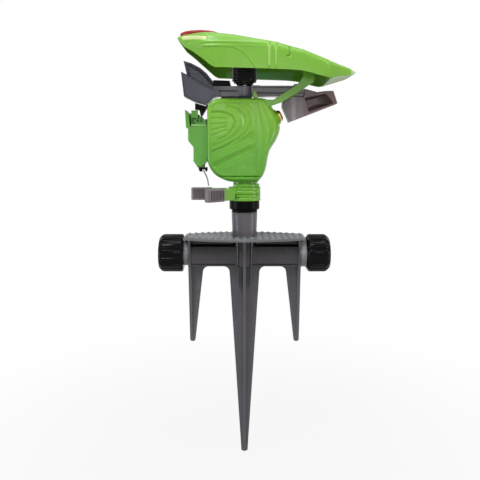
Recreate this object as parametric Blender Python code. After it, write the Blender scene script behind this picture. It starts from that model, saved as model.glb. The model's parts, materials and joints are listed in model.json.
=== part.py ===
"""Garden impact sprinkler on a three-prong step spike.

Metres, +Z up. +X runs along the water tube towards the end cap, -Y is the side that the trip
collars' grips face. The origin is the centre of the flat tip of the long middle spike, on the
axis that the head turns about.
"""

import math

import bmesh
import bpy
from mathutils import Matrix, Vector

# Fits shared by all pieces
GAP = 0.0003                 # touching faces stand this far apart
RUNNING = 0.0004             # radial clearance of anything that turns
ROUND = 32                   # sides of a large round piece
SMALL_ROUND = 20             # sides of a small round piece
FINE_ROUND = 12              # sides of a screw or wire
CUT = 0.01                   # a cutter runs this far past what it cuts

# Three-prong spike moulding
SPIKE_LENGTH = 0.1742        # flat tip to the top of the arches
TIP_WIDTH = 0.0058
SPIKE_ROOT_WIDTH = 0.0290    # at the arches
WEB_THICKNESS = 0.0036
RIB_THICKNESS = 0.0026
PRONG_SPACING = 0.0490       # stem axis to a side prong's tip
PRONG_TIP_HEIGHT = 0.1035    # side prongs stop this far above the middle tip
PRONG_TIP_RADIUS = 0.0024
PRONG_INNER = 0.0388         # inner edge of a side prong at the arches
ARCH_RADIUS = 0.0055
END_WALL = 0.0028
END_WALL_DEPTH = 0.0240
BEAM_HEIGHT = 0.0262         # arches to the underside of the step plate
BEAM_DEPTH = 0.0236
BEAM_FROM = 0.0018           # the beam runs between these levels above the arches
BEAM_TO = 0.0196
TUBE_RISE = 0.0128           # arches to the axis of the water tube
TUBE_BORE = 0.0150
COLUMN_RADIUS = 0.0111
RISER_HEIGHT = 0.0225        # above the step plate
RISER_TOP_RADIUS = 0.0123
RISER_TAPER = 0.0009
RISER_THREAD_BORE = 0.0214
RISER_BORE = 0.0140
RISER_THREAD_DEPTH = 0.0170

# Step plate
PLATE_LENGTH = 0.1136
PLATE_OVERHANG = 0.0038      # stands out past the frame at each end
PLATE_DEPTH = 0.0560         # across the middle
PLATE_END_DEPTH = 0.0270     # across each end
PLATE_THICKNESS = 0.0030
RIDGE_PITCH = 0.0059
RIDGE_HEIGHT = 0.0009

# Hose inlet, 3/4 inch female swivel
INLET_NECK_RADIUS = 0.0098
INLET_FLANGE_RADIUS = 0.0118
INLET_FLANGE = 0.0030
NECK_SHOULDER_RADIUS = 0.0118
NUT_RADIUS = 0.0168
NUT_RIB = 0.0007
NUT_RIBS = 16
NUT_LENGTH = 0.0226
NUT_EDGE = 0.0030            # chamfer of the nut and of the cap
NUT_REAR_WALL = 0.0028
HOSE_THREAD_RADIUS = 0.0132
WASHER_THICKNESS = 0.0030
WASHER_HOLE = 0.0075

# Blind end, 3/4 inch male spigot and cap
SPIGOT_RADIUS = 0.0130
CAP_STAND_OFF = 0.0011       # the cap screws down to this far from the step plate's end
CAP_LENGTH = 0.0221
CAP_END_WALL = 0.0028
CAP_WALL_CLEARANCE = 0.0004

# Bearing and trip collars
NUT_STEP_RADIUS = 0.0122
NUT_STEP = 0.0022
BEARING_NUT_RADIUS = 0.0142
BEARING_NUT_HEIGHT = 0.0081
BEARING_NUT_EDGE = 0.0008
BEARING_SLEEVE_RADIUS = 0.0117
BEARING_THREAD_LENGTH = 0.0110
STEM_RADIUS = 0.0082
STEM_BORE = 0.0116
STEM_FLANGE = 0.0030
STEM_SOCKET_DEPTH = 0.0120
THRUST_WASHER = 0.0012
COLLAR_HEIGHT = 0.0062
COLLAR_RADIUS = 0.0152
COLLAR_GROOVE = 0.0006
COLLAR_LAP = 0.0012          # the arm's root runs this far into the ring
ARM_ROOT = 0.0162            # where a collar's arm widens past the other collar
ARM_LENGTH = 0.0305          # stem axis to the shoulder that a tab seats on
ARM_WIDTH = 0.0066
BLADE_LENGTH = 0.0430
BLADE_THICKNESS = 0.0026
TAB_REACH = 0.0508           # stem axis to a tab's tip
TAB_HEIGHT = 0.0117
TAB_WIDTH = 0.0076
TAB_NOSE = 0.0050            # bevelled length at a tab's tip
TAB_EDGE = 0.0007
UPPER_TAB_ANGLE = 228.0      # degrees round the stem from +X
LOWER_TAB_ANGLE = 180.0

# Head body, heights are from the underside of its bottom flange
FLANGE_RADIUS = 0.0142
FLANGE_HEIGHT = 0.0028
NECK_RADIUS = 0.0115
NECK_HEIGHT = 0.0048
NECK_SLOPE = 0.0010
CORE_HALF = 0.0072           # half thickness of the core between the covers
COVER_HALF = 0.0160          # stem axis to a cover's outer face
COVER_WALL = 0.0022
COVER_EDGE = 0.0042          # rounding of a cover's outer edge
COVER_END = 0.0109           # covers stop here, the cheek goes on
COVER_LEFT = -0.0347
COVER_FOOT = 0.0050          # heights of the lower edge and of the lower left corner
COVER_SHOULDER = 0.0175
COVER_KEEL = -0.0195         # the lower edge ends here
COVER_ROUNDS = (0.0090, 0.0070, 0.0110)
CHEEK_HALF = 0.0154
WATER_COLUMN_RADIUS = 0.0095
WATER_BORE = 0.0110
BARREL_RADIUS = 0.0072
BARREL_ANGLE = 25.0
BARREL_MOUTH = (0.0318, 0.0666)
BARREL_BORE = 0.0104
NOZZLE_TIP_RADIUS = 0.0042
NOZZLE_FLANGE_RADIUS = 0.0056
NOZZLE_STAND_OUT = 0.0036
NOZZLE_DEPTH = 0.0090
NOZZLE_ORIFICE = 0.0040
NOZZLE_WALL = 0.0015

# Impact arm, its pin and its spring
BODY_TOP = 0.0824            # flange underside to the flat top under the arm
PIN_RADIUS = 0.0025
PIN_DEPTH = 0.0100
PIN_HEAD_RADIUS = 0.0040
PIN_HEAD = 0.0016
HUB_RADIUS = 0.0064
HUB_HEIGHT = 0.0098
ARM_WASHER = 0.0021
ARM_WASHER_RADIUS = 0.0052
BAR_NEAR = 0.0077            # the bar's striking face, towards -Y
BAR_FAR = 0.0046
BAR_END = 0.0555
BAR_LEFT = -0.0300
SPOON_FAR = 0.0086
SPOON_WALL = 0.0018
SPRING_RADIUS = 0.0109       # to the middle of the wire
SPRING_FOOT_RADIUS = 0.0064
SPRING_WIRE = 0.0018
SPRING_PITCH = 0.00268
SPRING_CURLS = 8
SPRING_NARROW_CURLS = 1.5    # the coil reaches its full width after this many
SPRING_LEG = 0.0040
SPRING_POINTS = 10           # points per curl

# Bridge and hood
BRIDGE_FAR = 0.0080          # stem axis to the bridge's striking face, towards -Y
BRIDGE_THICKNESS = 0.0055
BRIDGE_BAR_HEIGHT = 0.0042
BRIDGE_BAR_FAR = 0.0080
BRIDGE_BOSS_RADIUS = 0.0062
BRIDGE_BOSS = 0.0020         # stands on the bar
HOOD_WALL = 0.0022
HOOD_POST_RADIUS = 0.0042
SCREW_RADIUS = 0.0014
SCREW_HEAD_RADIUS = 0.0028
SCREW_HEAD = 0.0018
SCREW_LENGTH = 0.0100
INSERT_HEIGHT = 0.0028
INSERT_SINK = 0.0010

# Trip mechanism
TRIP_HALF = 0.0110
TRIP_WALL = 0.0020
TRIP_PIN_RADIUS = 0.0015
TRIP_PIN_HEIGHT = 0.0352
LEVER_HALF = 0.0025
LEVER_HEAD_HALF = 0.0060
LEVER_HUB_RADIUS = 0.0036
WIRE_RADIUS = 0.0005
SPRING_LEAF = 0.0006

# Places along the water tube
FRAME_HALF = PLATE_LENGTH / 2 - PLATE_OVERHANG
SWIVEL_INNER = -PLATE_LENGTH / 2 - 2 * GAP
TAIL_END = SWIVEL_INNER - NUT_REAR_WALL - GAP - INLET_FLANGE
CAP_START = PLATE_LENGTH / 2 + CAP_STAND_OFF
CAP_FLOOR = CAP_START + CAP_LENGTH - CAP_END_WALL
SPIGOT_END = CAP_FLOOR - WASHER_THICKNESS - 2 * GAP

# Levels, from the tip upwards
TUBE_Z = SPIKE_LENGTH + TUBE_RISE
PLATE_UNDER = SPIKE_LENGTH + BEAM_HEIGHT
PLATE_TOP = PLATE_UNDER + PLATE_THICKNESS
RISER_TOP = PLATE_TOP + RISER_HEIGHT
NUT_SEAT = RISER_TOP + GAP
NUT_FLANGE_Z = NUT_SEAT + NUT_STEP
NUT_TOP = NUT_FLANGE_Z + BEARING_NUT_HEIGHT
LOWER_COLLAR_Z = NUT_TOP + GAP
UPPER_COLLAR_Z = LOWER_COLLAR_Z + COLLAR_HEIGHT + GAP
HEAD_Z = UPPER_COLLAR_Z + COLLAR_HEIGHT + GAP
ARM_Z = HEAD_Z + BODY_TOP + ARM_WASHER + 2 * GAP
HUB_TOP = ARM_Z + HUB_HEIGHT
SPRING_FOOT_Z = HUB_TOP + GAP + SPRING_WIRE / 2
BRIDGE_BAR_Z = SPRING_FOOT_Z + SPRING_PITCH * SPRING_CURLS + SPRING_WIRE / 2 + GAP
BRIDGE_TOP = BRIDGE_BAR_Z + BRIDGE_BAR_HEIGHT


# Materials
def plastic(name, colour, roughness=0.4, metallic=0.0):
    material = bpy.data.materials.new(name)
    material.use_nodes = True
    shader = material.node_tree.nodes["Principled BSDF"]
    shader.inputs["Base Color"].default_value = (*colour, 1.0)
    shader.inputs["Roughness"].default_value = roughness
    shader.inputs["Metallic"].default_value = metallic
    return material


# Outlines
def rounded(corners, steps=4):
    """Points of an outline whose corners are (a, b) or (a, b, radius)."""
    points = []
    for index, corner in enumerate(corners):
        here = Vector(corner[:2])
        radius = corner[2] if len(corner) > 2 else 0.0
        if not radius:
            points.append(tuple(here))
            continue
        before = (Vector(corners[index - 1][:2]) - here).normalized()
        after = (Vector(corners[(index + 1) % len(corners)][:2]) - here).normalized()
        half = before.angle(after) / 2
        centre = here + (before + after).normalized() * radius / math.sin(half)
        start = here + before * radius / math.tan(half) - centre
        turn = math.pi - 2 * half
        side = 1.0 if before.x * after.y - before.y * after.x < 0 else -1.0
        for step in range(steps + 1):
            angle = side * turn * step / steps
            points.append(tuple(centre + Matrix.Rotation(angle, 2) @ start))
    return points


def circle(radius, count=ROUND, phase=0.0):
    turns = [2 * math.pi * (index + phase) / count for index in range(count)]
    return [(radius * math.cos(turn), radius * math.sin(turn)) for turn in turns]


def raised(points, height):
    """A head outline, given from the flange's underside, put at its level."""
    return [(point[0], point[1] + height, *point[2:]) for point in points]


# Solids
def solid(name, build, material=None):
    mesh = bpy.data.meshes.new(name)
    shape = bmesh.new()
    build(shape)
    bmesh.ops.remove_doubles(shape, verts=shape.verts, dist=1e-7)
    bmesh.ops.recalc_face_normals(shape, faces=shape.faces)
    shape.to_mesh(mesh)
    shape.free()
    piece = bpy.data.objects.new(name, mesh)
    bpy.context.scene.collection.objects.link(piece)
    if material:
        mesh.materials.append(material)
    return piece


def lofted(name, rings, material=None, closed=False):
    """A skin over rings of points, with flat ends, or none where the last ring meets the first."""

    def build(shape):
        rows = [[shape.verts.new(point) for point in ring] for ring in rings]
        pairs = list(zip(rows, rows[1:]))
        if closed:
            pairs.append((rows[-1], rows[0]))
        for low, high in pairs:
            for index in range(len(low)):
                after = (index + 1) % len(low)
                shape.faces.new((low[index], low[after], high[after], high[index]))
        if not closed:
            shape.faces.new(rows[0])
            shape.faces.new(rows[-1])

    return solid(name, build, material)


def placer(plane):
    """How outline points (a, b) at a depth become points in space."""
    return {
        "XZ": lambda a, b, depth: (a, depth, b),
        "YZ": lambda a, b, depth: (depth, a, b),
        "XY": lambda a, b, depth: (a, b, depth),
    }[plane]


def prism(name, outline, low, high, plane="XZ", material=None):
    put = placer(plane)
    return lofted(name, [[put(a, b, depth) for a, b in outline] for depth in (low, high)], material)


def turned(name, profile, axis="Z", centre=(0, 0), material=None, sides=ROUND, closed=False):
    """A body of revolution. The profile's points are (radius, height along the axis)."""
    plane = {"Z": "XY", "X": "YZ", "Y": "XZ"}[axis]
    put = placer(plane)
    rings = [
        [put(centre[0] + a, centre[1] + b, height) for a, b in circle(radius, sides)]
        for radius, height in profile
    ]
    return lofted(name, rings, material, closed)


def pipe(name, outer, inner, low, high, axis="Z", centre=(0, 0), material=None, sides=ROUND):
    profile = [(outer, low), (outer, high), (inner, high), (inner, low)]
    return turned(name, profile, axis, centre, material, sides, closed=True)


def rod(name, radius, low, high, axis="Z", centre=(0, 0), material=None, sides=SMALL_ROUND):
    return turned(name, [(radius, low), (radius, high)], axis, centre, material, sides)


def turn_about(piece, angle, axis="Z", point=(0, 0, 0)):
    """Turn a piece's points about an axis through a point, in degrees."""
    spin = (
        Matrix.Translation(point)
        @ Matrix.Rotation(math.radians(angle), 4, axis)
        @ Matrix.Translation(-Vector(point))
    )
    piece.data.transform(spin)
    return piece


def combine(operation, piece, others):
    for other in others:
        modifier = piece.modifiers.new(other.name, "BOOLEAN")
        modifier.operation = operation
        modifier.solver = "EXACT"
        modifier.object = other
    bpy.context.view_layer.update()
    graph = bpy.context.evaluated_depsgraph_get()
    made = bpy.data.meshes.new_from_object(piece.evaluated_get(graph))
    piece.modifiers.clear()
    piece.data = made
    for other in others:
        bpy.data.objects.remove(other)
    return piece


def fuse(piece, *others):
    return combine("UNION", piece, others)


def cut(piece, *others):
    return combine("DIFFERENCE", piece, others)


def soften(piece, width, segments=2, angle=40.0):
    """Round a piece's sharp edges."""
    modifier = piece.modifiers.new("soften", "BEVEL")
    modifier.width = width
    modifier.segments = segments
    modifier.limit_method = "ANGLE"
    modifier.angle_limit = math.radians(angle)
    modifier.use_clamp_overlap = True
    return combine("UNION", piece, ())


def smooth(piece):
    piece.data.shade_smooth()
    piece.data.set_sharp_from_angle(angle=math.radians(35))
    return piece


def finish_pieces(pivots):
    """Hang each piece on the empty that stands on its joint's axis."""
    for location, name, pieces in pivots:
        pivot = bpy.data.objects.new(name, None)
        pivot.location = location
        bpy.context.scene.collection.objects.link(pivot)
        for piece in pieces:
            smooth(piece)
            piece.data.transform(Matrix.Translation(-Vector(location)))
            piece.parent = pivot


# Grey base
def make_spike_base(grey):
    """Three prongs, their cross ribs, the water tube's housing, both spigots and the riser."""
    tip, root = TIP_WIDTH / 2, SPIKE_ROOT_WIDTH / 2
    prong_top = (FRAME_HALF, PLATE_UNDER)
    prong_tip_z = PRONG_TIP_HEIGHT
    right = [
        (tip, 0.0),
        (root, SPIKE_LENGTH, ARCH_RADIUS),
        (PRONG_INNER, SPIKE_LENGTH, ARCH_RADIUS),
        (PRONG_SPACING - PRONG_TIP_RADIUS, prong_tip_z, PRONG_TIP_RADIUS * 0.8),
        (PRONG_SPACING + PRONG_TIP_RADIUS, prong_tip_z, PRONG_TIP_RADIUS * 0.8),
        prong_top,
    ]
    left = [(-point[0], *point[1:]) for point in reversed(right)]
    web = prism(
        "spike_base", rounded(right + left), -WEB_THICKNESS / 2, WEB_THICKNESS / 2, material=grey
    )
    rib_top = SPIKE_LENGTH + TUBE_RISE
    rib = prism(
        "rib",
        [(-tip, 0.0), (tip, 0.0), (root * 0.86, rib_top), (-root * 0.86, rib_top)],
        -RIB_THICKNESS / 2,
        RIB_THICKNESS / 2,
        "YZ",
    )
    walls = []
    wall_depth = END_WALL_DEPTH / 2
    for side in (-1, 1):
        foot = PRONG_SPACING + PRONG_TIP_RADIUS - END_WALL / 2
        head = FRAME_HALF - END_WALL / 2
        rings = []
        for middle, height, depth in (
            (foot, prong_tip_z + PRONG_TIP_RADIUS * 0.6, PRONG_TIP_RADIUS * 0.9),
            (head, PLATE_UNDER, wall_depth),
        ):
            outline = [(-1, -1), (1, -1), (1, 1), (-1, 1)]
            rings.append(
                [(side * middle + a * END_WALL / 2, b * depth, height) for a, b in outline]
            )
        walls.append(lofted("end_wall", rings))
    reach = FRAME_HALF - END_WALL / 2
    low, high = SPIKE_LENGTH + BEAM_FROM, SPIKE_LENGTH + BEAM_TO
    beam = prism(
        "beam",
        [(-reach, low), (reach, low), (reach, high), (-reach, high)],
        -BEAM_DEPTH / 2,
        BEAM_DEPTH / 2,
    )
    column = rod("column", COLUMN_RADIUS, low, PLATE_UNDER, sides=ROUND)
    riser = turned(
        "riser",
        [(RISER_TOP_RADIUS - RISER_TAPER, TUBE_Z), (RISER_TOP_RADIUS - RISER_TAPER, PLATE_TOP),
         (RISER_TOP_RADIUS, RISER_TOP)],
    )
    inlet = turned(
        "inlet",
        [
            (INLET_FLANGE_RADIUS, TAIL_END),
            (INLET_FLANGE_RADIUS, TAIL_END + INLET_FLANGE),
            (INLET_NECK_RADIUS, TAIL_END + INLET_FLANGE),
            (INLET_NECK_RADIUS, SWIVEL_INNER + GAP),
            (NECK_SHOULDER_RADIUS, SWIVEL_INNER + GAP),
            (NECK_SHOULDER_RADIUS, 0.0),
        ],
        "X",
        (0, TUBE_Z),
    )
    spigot = rod("spigot", SPIGOT_RADIUS, 0.0, SPIGOT_END, "X", (0, TUBE_Z), sides=ROUND)
    base = fuse(web, rib, *walls, beam, column, riser, inlet, spigot)
    waterway = rod(
        "waterway", TUBE_BORE / 2, TAIL_END - CUT, SPIGOT_END + CUT, "X", (0, TUBE_Z), sides=ROUND
    )
    thread_floor = RISER_TOP - RISER_THREAD_DEPTH
    shaft = turned(
        "shaft",
        [
            (RISER_BORE / 2, TUBE_Z),
            (RISER_BORE / 2, thread_floor),
            (RISER_THREAD_BORE / 2, thread_floor),
            (RISER_THREAD_BORE / 2, RISER_TOP + CUT),
        ],
    )
    return cut(base, waterway, shaft)


def plate_half_depth(x):
    """The step plate bows out between its ends."""
    share = 1 - (2 * x / PLATE_LENGTH) ** 2
    return (PLATE_END_DEPTH + (PLATE_DEPTH - PLATE_END_DEPTH) * share) / 2


def make_step_plate(grey):
    """The ridged foot plate. It rests on the frame and fits round the riser."""
    low = PLATE_UNDER + GAP
    top = PLATE_TOP
    ridges = int(PLATE_LENGTH / RIDGE_PITCH)
    first = -ridges * RIDGE_PITCH / 2
    stations = [(-PLATE_LENGTH / 2, 0.0)]
    for index in range(ridges):
        start = first + index * RIDGE_PITCH
        for share, lift in ((0.12, 0.0), (0.42, 1.0), (0.58, 1.0), (0.88, 0.0)):
            stations.append((start + share * RIDGE_PITCH, lift * RIDGE_HEIGHT))
    stations.append((PLATE_LENGTH / 2, 0.0))
    rings = []
    for x, lift in stations:
        half = plate_half_depth(x)
        rings.append([(x, -half, low), (x, half, low), (x, half, top + lift), (x, -half, top + lift)])
    plate = lofted("step_plate", rings, grey)
    hole = rod(
        "hole", RISER_TOP_RADIUS - RISER_TAPER + GAP, low - CUT, top + CUT, sides=ROUND
    )
    return cut(plate, hole)


# Black couplings
def ribbed(name, profile, material):
    """A knob along X with ribs. The profile's points are (radius, x, rib height)."""
    rings = []
    for radius, x, rib in profile:
        ring = []
        for index in range(NUT_RIBS * 4):
            lift = rib if index % 4 in (1, 2) else 0.0
            angle = 2 * math.pi * (index + 0.5) / (NUT_RIBS * 4)
            ring.append(
                (x, (radius + lift) * math.cos(angle), TUBE_Z + (radius + lift) * math.sin(angle))
            )
        rings.append(ring)
    return lofted(name, rings, material)


def make_swivel_nut(black):
    """The female hose nut, held on the tail by the flange inside it."""
    inner_end = SWIVEL_INNER
    outer_end = inner_end - NUT_LENGTH
    edge = NUT_EDGE
    nut = ribbed(
        "hose_swivel_nut",
        [
            (NUT_RADIUS - edge, outer_end, 0.0),
            (NUT_RADIUS - edge * 0.3, outer_end + edge * 0.45, NUT_RIB * 0.3),
            (NUT_RADIUS, outer_end + edge, NUT_RIB),
            (NUT_RADIUS, inner_end - edge * 0.4, NUT_RIB),
            (NUT_RADIUS - edge * 0.3, inner_end, 0.0),
        ],
        black,
    )
    chamber = inner_end - NUT_REAR_WALL
    hollow = turned(
        "hollow",
        [
            (HOSE_THREAD_RADIUS, outer_end - CUT),
            (HOSE_THREAD_RADIUS, chamber),
            (INLET_NECK_RADIUS + RUNNING, chamber),
            (INLET_NECK_RADIUS + RUNNING, inner_end + CUT),
        ],
        "X",
        (0, TUBE_Z),
    )
    return cut(nut, hollow)


def make_hose_washer(rubber):
    seat = TAIL_END - GAP
    return pipe(
        "hose_washer", HOSE_THREAD_RADIUS - RUNNING, WASHER_HOLE, seat - WASHER_THICKNESS, seat,
        "X", (0, TUBE_Z), rubber,
    )


def make_end_cap(black):
    start = CAP_START
    end = start + CAP_LENGTH
    edge = NUT_EDGE
    cap = ribbed(
        "end_cap",
        [
            (NUT_RADIUS - edge, start, 0.0),
            (NUT_RADIUS, start + edge * 0.8, NUT_RIB),
            (NUT_RADIUS, end - edge * 1.4, NUT_RIB),
            (NUT_RADIUS - edge, end, 0.0),
        ],
        black,
    )
    bore = SPIGOT_RADIUS + CAP_WALL_CLEARANCE
    hollow = rod("hollow", bore, start - CUT, CAP_FLOOR, "X", (0, TUBE_Z), sides=ROUND)
    return cut(cap, hollow)


def make_cap_washer(rubber):
    seat = SPIGOT_END + GAP
    return pipe(
        "end_cap_washer", SPIGOT_RADIUS, WASHER_HOLE, seat, seat + WASHER_THICKNESS,
        "X", (0, TUBE_Z), rubber,
    )


# Bearing and trip collars
def make_bearing_nut(black):
    """Screws into the riser. The stem runs in its bore and the collars grip its sleeve."""
    thread_end = RISER_TOP - BEARING_THREAD_LENGTH
    thread = RISER_THREAD_BORE / 2 - GAP
    sleeve_top = HEAD_Z - GAP
    bore = STEM_RADIUS + RUNNING
    edge = BEARING_NUT_EDGE
    return turned(
        "bearing_nut",
        [
            (bore, thread_end),
            (thread, thread_end),
            (thread, NUT_SEAT),
            (NUT_STEP_RADIUS, NUT_SEAT),
            (NUT_STEP_RADIUS, NUT_FLANGE_Z),
            (BEARING_NUT_RADIUS - edge, NUT_FLANGE_Z),
            (BEARING_NUT_RADIUS, NUT_FLANGE_Z + edge),
            (BEARING_NUT_RADIUS, NUT_TOP),
            (BEARING_SLEEVE_RADIUS, NUT_TOP),
            (BEARING_SLEEVE_RADIUS, sleeve_top),
            (bore, sleeve_top),
        ],
        material=black,
        closed=True,
    )


def make_stem(metal):
    """The turning tube. Its foot flange hangs under the bearing nut, its top sits in the body."""
    washer_low = RISER_TOP - BEARING_THREAD_LENGTH - GAP - THRUST_WASHER
    flange_top = washer_low - GAP
    top = HEAD_Z + STEM_SOCKET_DEPTH - GAP
    flange_radius = RISER_THREAD_BORE / 2 - 2 * RUNNING
    return turned(
        "stem_tube",
        [
            (STEM_BORE / 2, flange_top - STEM_FLANGE),
            (flange_radius, flange_top - STEM_FLANGE),
            (flange_radius, flange_top),
            (STEM_RADIUS, flange_top),
            (STEM_RADIUS, top),
            (STEM_BORE / 2, top),
        ],
        material=metal,
        closed=True,
    )


def make_thrust_washer(nylon):
    high = RISER_TOP - BEARING_THREAD_LENGTH - GAP
    radius = RISER_THREAD_BORE / 2 - 2 * RUNNING
    return pipe("thrust_washer", radius, STEM_RADIUS + GAP, high - THRUST_WASHER, high, material=nylon)


def make_collar(name, low, angle, green):
    """A split grip ring with an arm. The arm's blade carries the tab that the wire meets."""
    high = low + COLLAR_HEIGHT
    groove = (low + high) / 2
    bore = BEARING_SLEEVE_RADIUS + GAP
    ring = turned(
        name,
        [
            (bore, low),
            (COLLAR_RADIUS, low),
            (COLLAR_RADIUS, groove - COLLAR_GROOVE),
            (COLLAR_RADIUS - COLLAR_GROOVE, groove),
            (COLLAR_RADIUS, groove + COLLAR_GROOVE),
            (COLLAR_RADIUS, high),
            (bore, high),
        ],
        material=green,
        closed=True,
    )
    half = ARM_WIDTH / 2
    tab_low, tab_high = tab_levels()
    inner, outer = bore + COLLAR_LAP, ARM_ROOT + COLLAR_LAP
    root = prism("root", [(inner, -half), (outer, -half), (outer, half), (inner, half)], low, high, "XY")
    arm = prism(
        "arm", [(ARM_ROOT, -half), (ARM_LENGTH, -half), (ARM_LENGTH, half), (ARM_ROOT, half)],
        tab_low + 2 * GAP, tab_high - 2 * GAP, "XY",
    )
    middle = (tab_low + tab_high) / 2
    blade = prism(
        "blade",
        [(ARM_ROOT, -BLADE_THICKNESS / 2), (BLADE_LENGTH, -BLADE_THICKNESS / 2),
         (BLADE_LENGTH, BLADE_THICKNESS / 2), (ARM_ROOT, BLADE_THICKNESS / 2)],
        middle - TAB_HEIGHT / 4, middle + TAB_HEIGHT / 4, "XY",
    )
    return turn_about(fuse(ring, root, arm, blade), angle)


def tab_levels():
    """Both tabs span both collars, so that the wire meets either."""
    middle = UPPER_COLLAR_Z - GAP / 2
    return middle - TAB_HEIGHT / 2, middle + TAB_HEIGHT / 2


def make_tab(name, angle, grey):
    """A grey grip pushed onto a collar's blade, bevelled towards its tip."""
    low, high = tab_levels()
    half = TAB_WIDTH / 2
    nose = TAB_REACH - TAB_NOSE
    tab = prism(
        name,
        [
            (ARM_LENGTH + GAP, -half),
            (nose, -half),
            (TAB_REACH, -half * 0.55),
            (TAB_REACH, half * 0.55),
            (nose, half),
            (ARM_LENGTH + GAP, half),
        ],
        low, high, "XY", grey,
    )
    soften(tab, TAB_EDGE, 1)
    middle = (low + high) / 2
    slot = BLADE_THICKNESS / 2 + GAP
    socket = prism(
        "socket",
        [(ARM_LENGTH - CUT, -slot), (BLADE_LENGTH + GAP, -slot), (BLADE_LENGTH + GAP, slot),
         (ARM_LENGTH - CUT, slot)],
        middle - TAB_HEIGHT / 4 - GAP, middle + TAB_HEIGHT / 4 + GAP, "XY",
    )
    return turn_about(cut(tab, socket), angle)


# Head body
def cover_outline():
    """The cover's edge, seen from its side, on the head's own level."""
    keel_round, shoulder_round, top_round = COVER_ROUNDS
    return rounded(
        [
            (COVER_END, COVER_FOOT),
            (COVER_KEEL, COVER_FOOT, keel_round),
            (COVER_LEFT, COVER_SHOULDER, shoulder_round),
            (COVER_LEFT, BODY_TOP, top_round),
            (COVER_END, BODY_TOP),
        ]
    )


def inset(points, distance):
    """An outline moved inwards."""
    moved = []
    for index, point in enumerate(points):
        here = Vector(point)
        before = (here - Vector(points[index - 1])).normalized()
        after = (Vector(points[(index + 1) % len(points)]) - here).normalized()
        normal = Vector((-(before.y + after.y), before.x + after.x)).normalized()
        mitre = max(0.5, normal.dot(Vector((-before.y, before.x))))
        moved.append(tuple(here + normal * distance / mitre))
    area = sum(
        a[0] * b[1] - b[0] * a[1] for a, b in zip(points, points[1:] + points[:1])
    )
    return moved if area > 0 else inset(points[::-1], distance)[::-1]


CHEEK_LEVELS = (
    # height, reach along X, half depth at the covers
    (0.0050, 0.0130, 0.0085),
    (0.0109, 0.0176, 0.0122),
    (0.0187, 0.0204, 0.0145),
    (0.0272, 0.0219, CHEEK_HALF),
    (0.0346, 0.0240, CHEEK_HALF),
    (0.0439, 0.0298, CHEEK_HALF),
    (0.0525, 0.0331, 0.0151),
    (0.0605, 0.0330, 0.0147),
    (0.0720, 0.0280, 0.0140),
    (BODY_TOP, 0.0210, 0.0125),
)
CHEEK_SIDES = 12
BODY_LAP = 0.0010            # the core runs this far into the cheek


def make_body(green):
    """The core with the water column, the nozzle barrel and the cheek in front of the covers."""
    outline = [(min(x, COVER_END), z + HEAD_Z) for x, z in cover_outline()]
    seam = COVER_END + GAP
    core_outline = [(seam + BODY_LAP if x >= COVER_END else x, z) for x, z in outline]
    core = prism("body", core_outline, -CORE_HALF, CORE_HALF, material=green)
    rings = []
    for height, reach, half in CHEEK_LEVELS:
        ring = []
        for step in range(CHEEK_SIDES + 1):
            angle = math.pi * (step / CHEEK_SIDES - 0.5)
            x = seam + (reach - seam) * math.cos(angle)
            ring.append((x, half * math.sin(angle), HEAD_Z + height))
        rings.append(ring)
    cheek = lofted("cheek", rings)
    neck = turned(
        "neck",
        [
            (FLANGE_RADIUS, HEAD_Z),
            (FLANGE_RADIUS, HEAD_Z + FLANGE_HEIGHT),
            (NECK_RADIUS, HEAD_Z + FLANGE_HEIGHT),
            (NECK_RADIUS, neck_top()),
            (WATER_COLUMN_RADIUS, neck_top() + NECK_SLOPE),
            (WATER_COLUMN_RADIUS, elbow_z()),
        ],
    )
    barrel = along_barrel("barrel", BARREL_RADIUS, 0.0, barrel_length())
    fin_outline = [(seam, FIN_FOOT), (FIN_RIGHT, FIN_FOOT), (FIN_RIGHT, BODY_TOP), (FIN_PEAK, FIN_TOP),
                   (FIN_LEFT, FIN_TOP), (FIN_LEFT, BODY_TOP + GAP), (seam, BODY_TOP + GAP)]
    fin = prism("fin", raised(fin_outline, HEAD_Z), -BAR_NEAR - 2 * GAP - FIN_THICKNESS, -BAR_NEAR - 2 * GAP)
    body = fuse(core, cheek, neck, barrel, fin)
    socket = rod(
        "socket", STEM_RADIUS + GAP, HEAD_Z - CUT, HEAD_Z + STEM_SOCKET_DEPTH, sides=ROUND
    )
    water = rod("water", WATER_BORE / 2, HEAD_Z, elbow_z() + WATER_BORE / 4)
    jet = along_barrel("jet", BARREL_BORE / 2, 0.0, barrel_length() + CUT)
    pin_floor = HEAD_Z + BODY_TOP - PIN_DEPTH
    pin_hole = rod("pin_hole", PIN_RADIUS + GAP, pin_floor, HEAD_Z + BODY_TOP + CUT)
    foot = prism(
        "foot", inset(raised(BRIDGE_STRUT, HEAD_Z), -GAP), -COVER_HALF - CUT, -BRIDGE_FAR + GAP
    )
    screw_x, screw_z = BRIDGE_SCREW[0], BRIDGE_SCREW[1] + HEAD_Z
    through = rod(
        "through", SCREW_RADIUS + GAP, -COVER_HALF, COVER_HALF, "Y", (screw_x, screw_z), sides=FINE_ROUND
    )
    sink = rod("sink", SCREW_HEAD_RADIUS + GAP, BRIDGE_SCREW_SEAT, COVER_HALF + CUT, "Y", (screw_x, screw_z))
    pilots = [
        rod("pilot", SCREW_RADIUS + GAP, cover_screw_end() - GAP, COVER_HALF, "Y", (x, z + HEAD_Z),
            sides=FINE_ROUND)
        for x, z in COVER_SCREWS
    ]
    return cut(body, socket, water, jet, pin_hole, foot, through, sink, *pilots)


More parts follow.
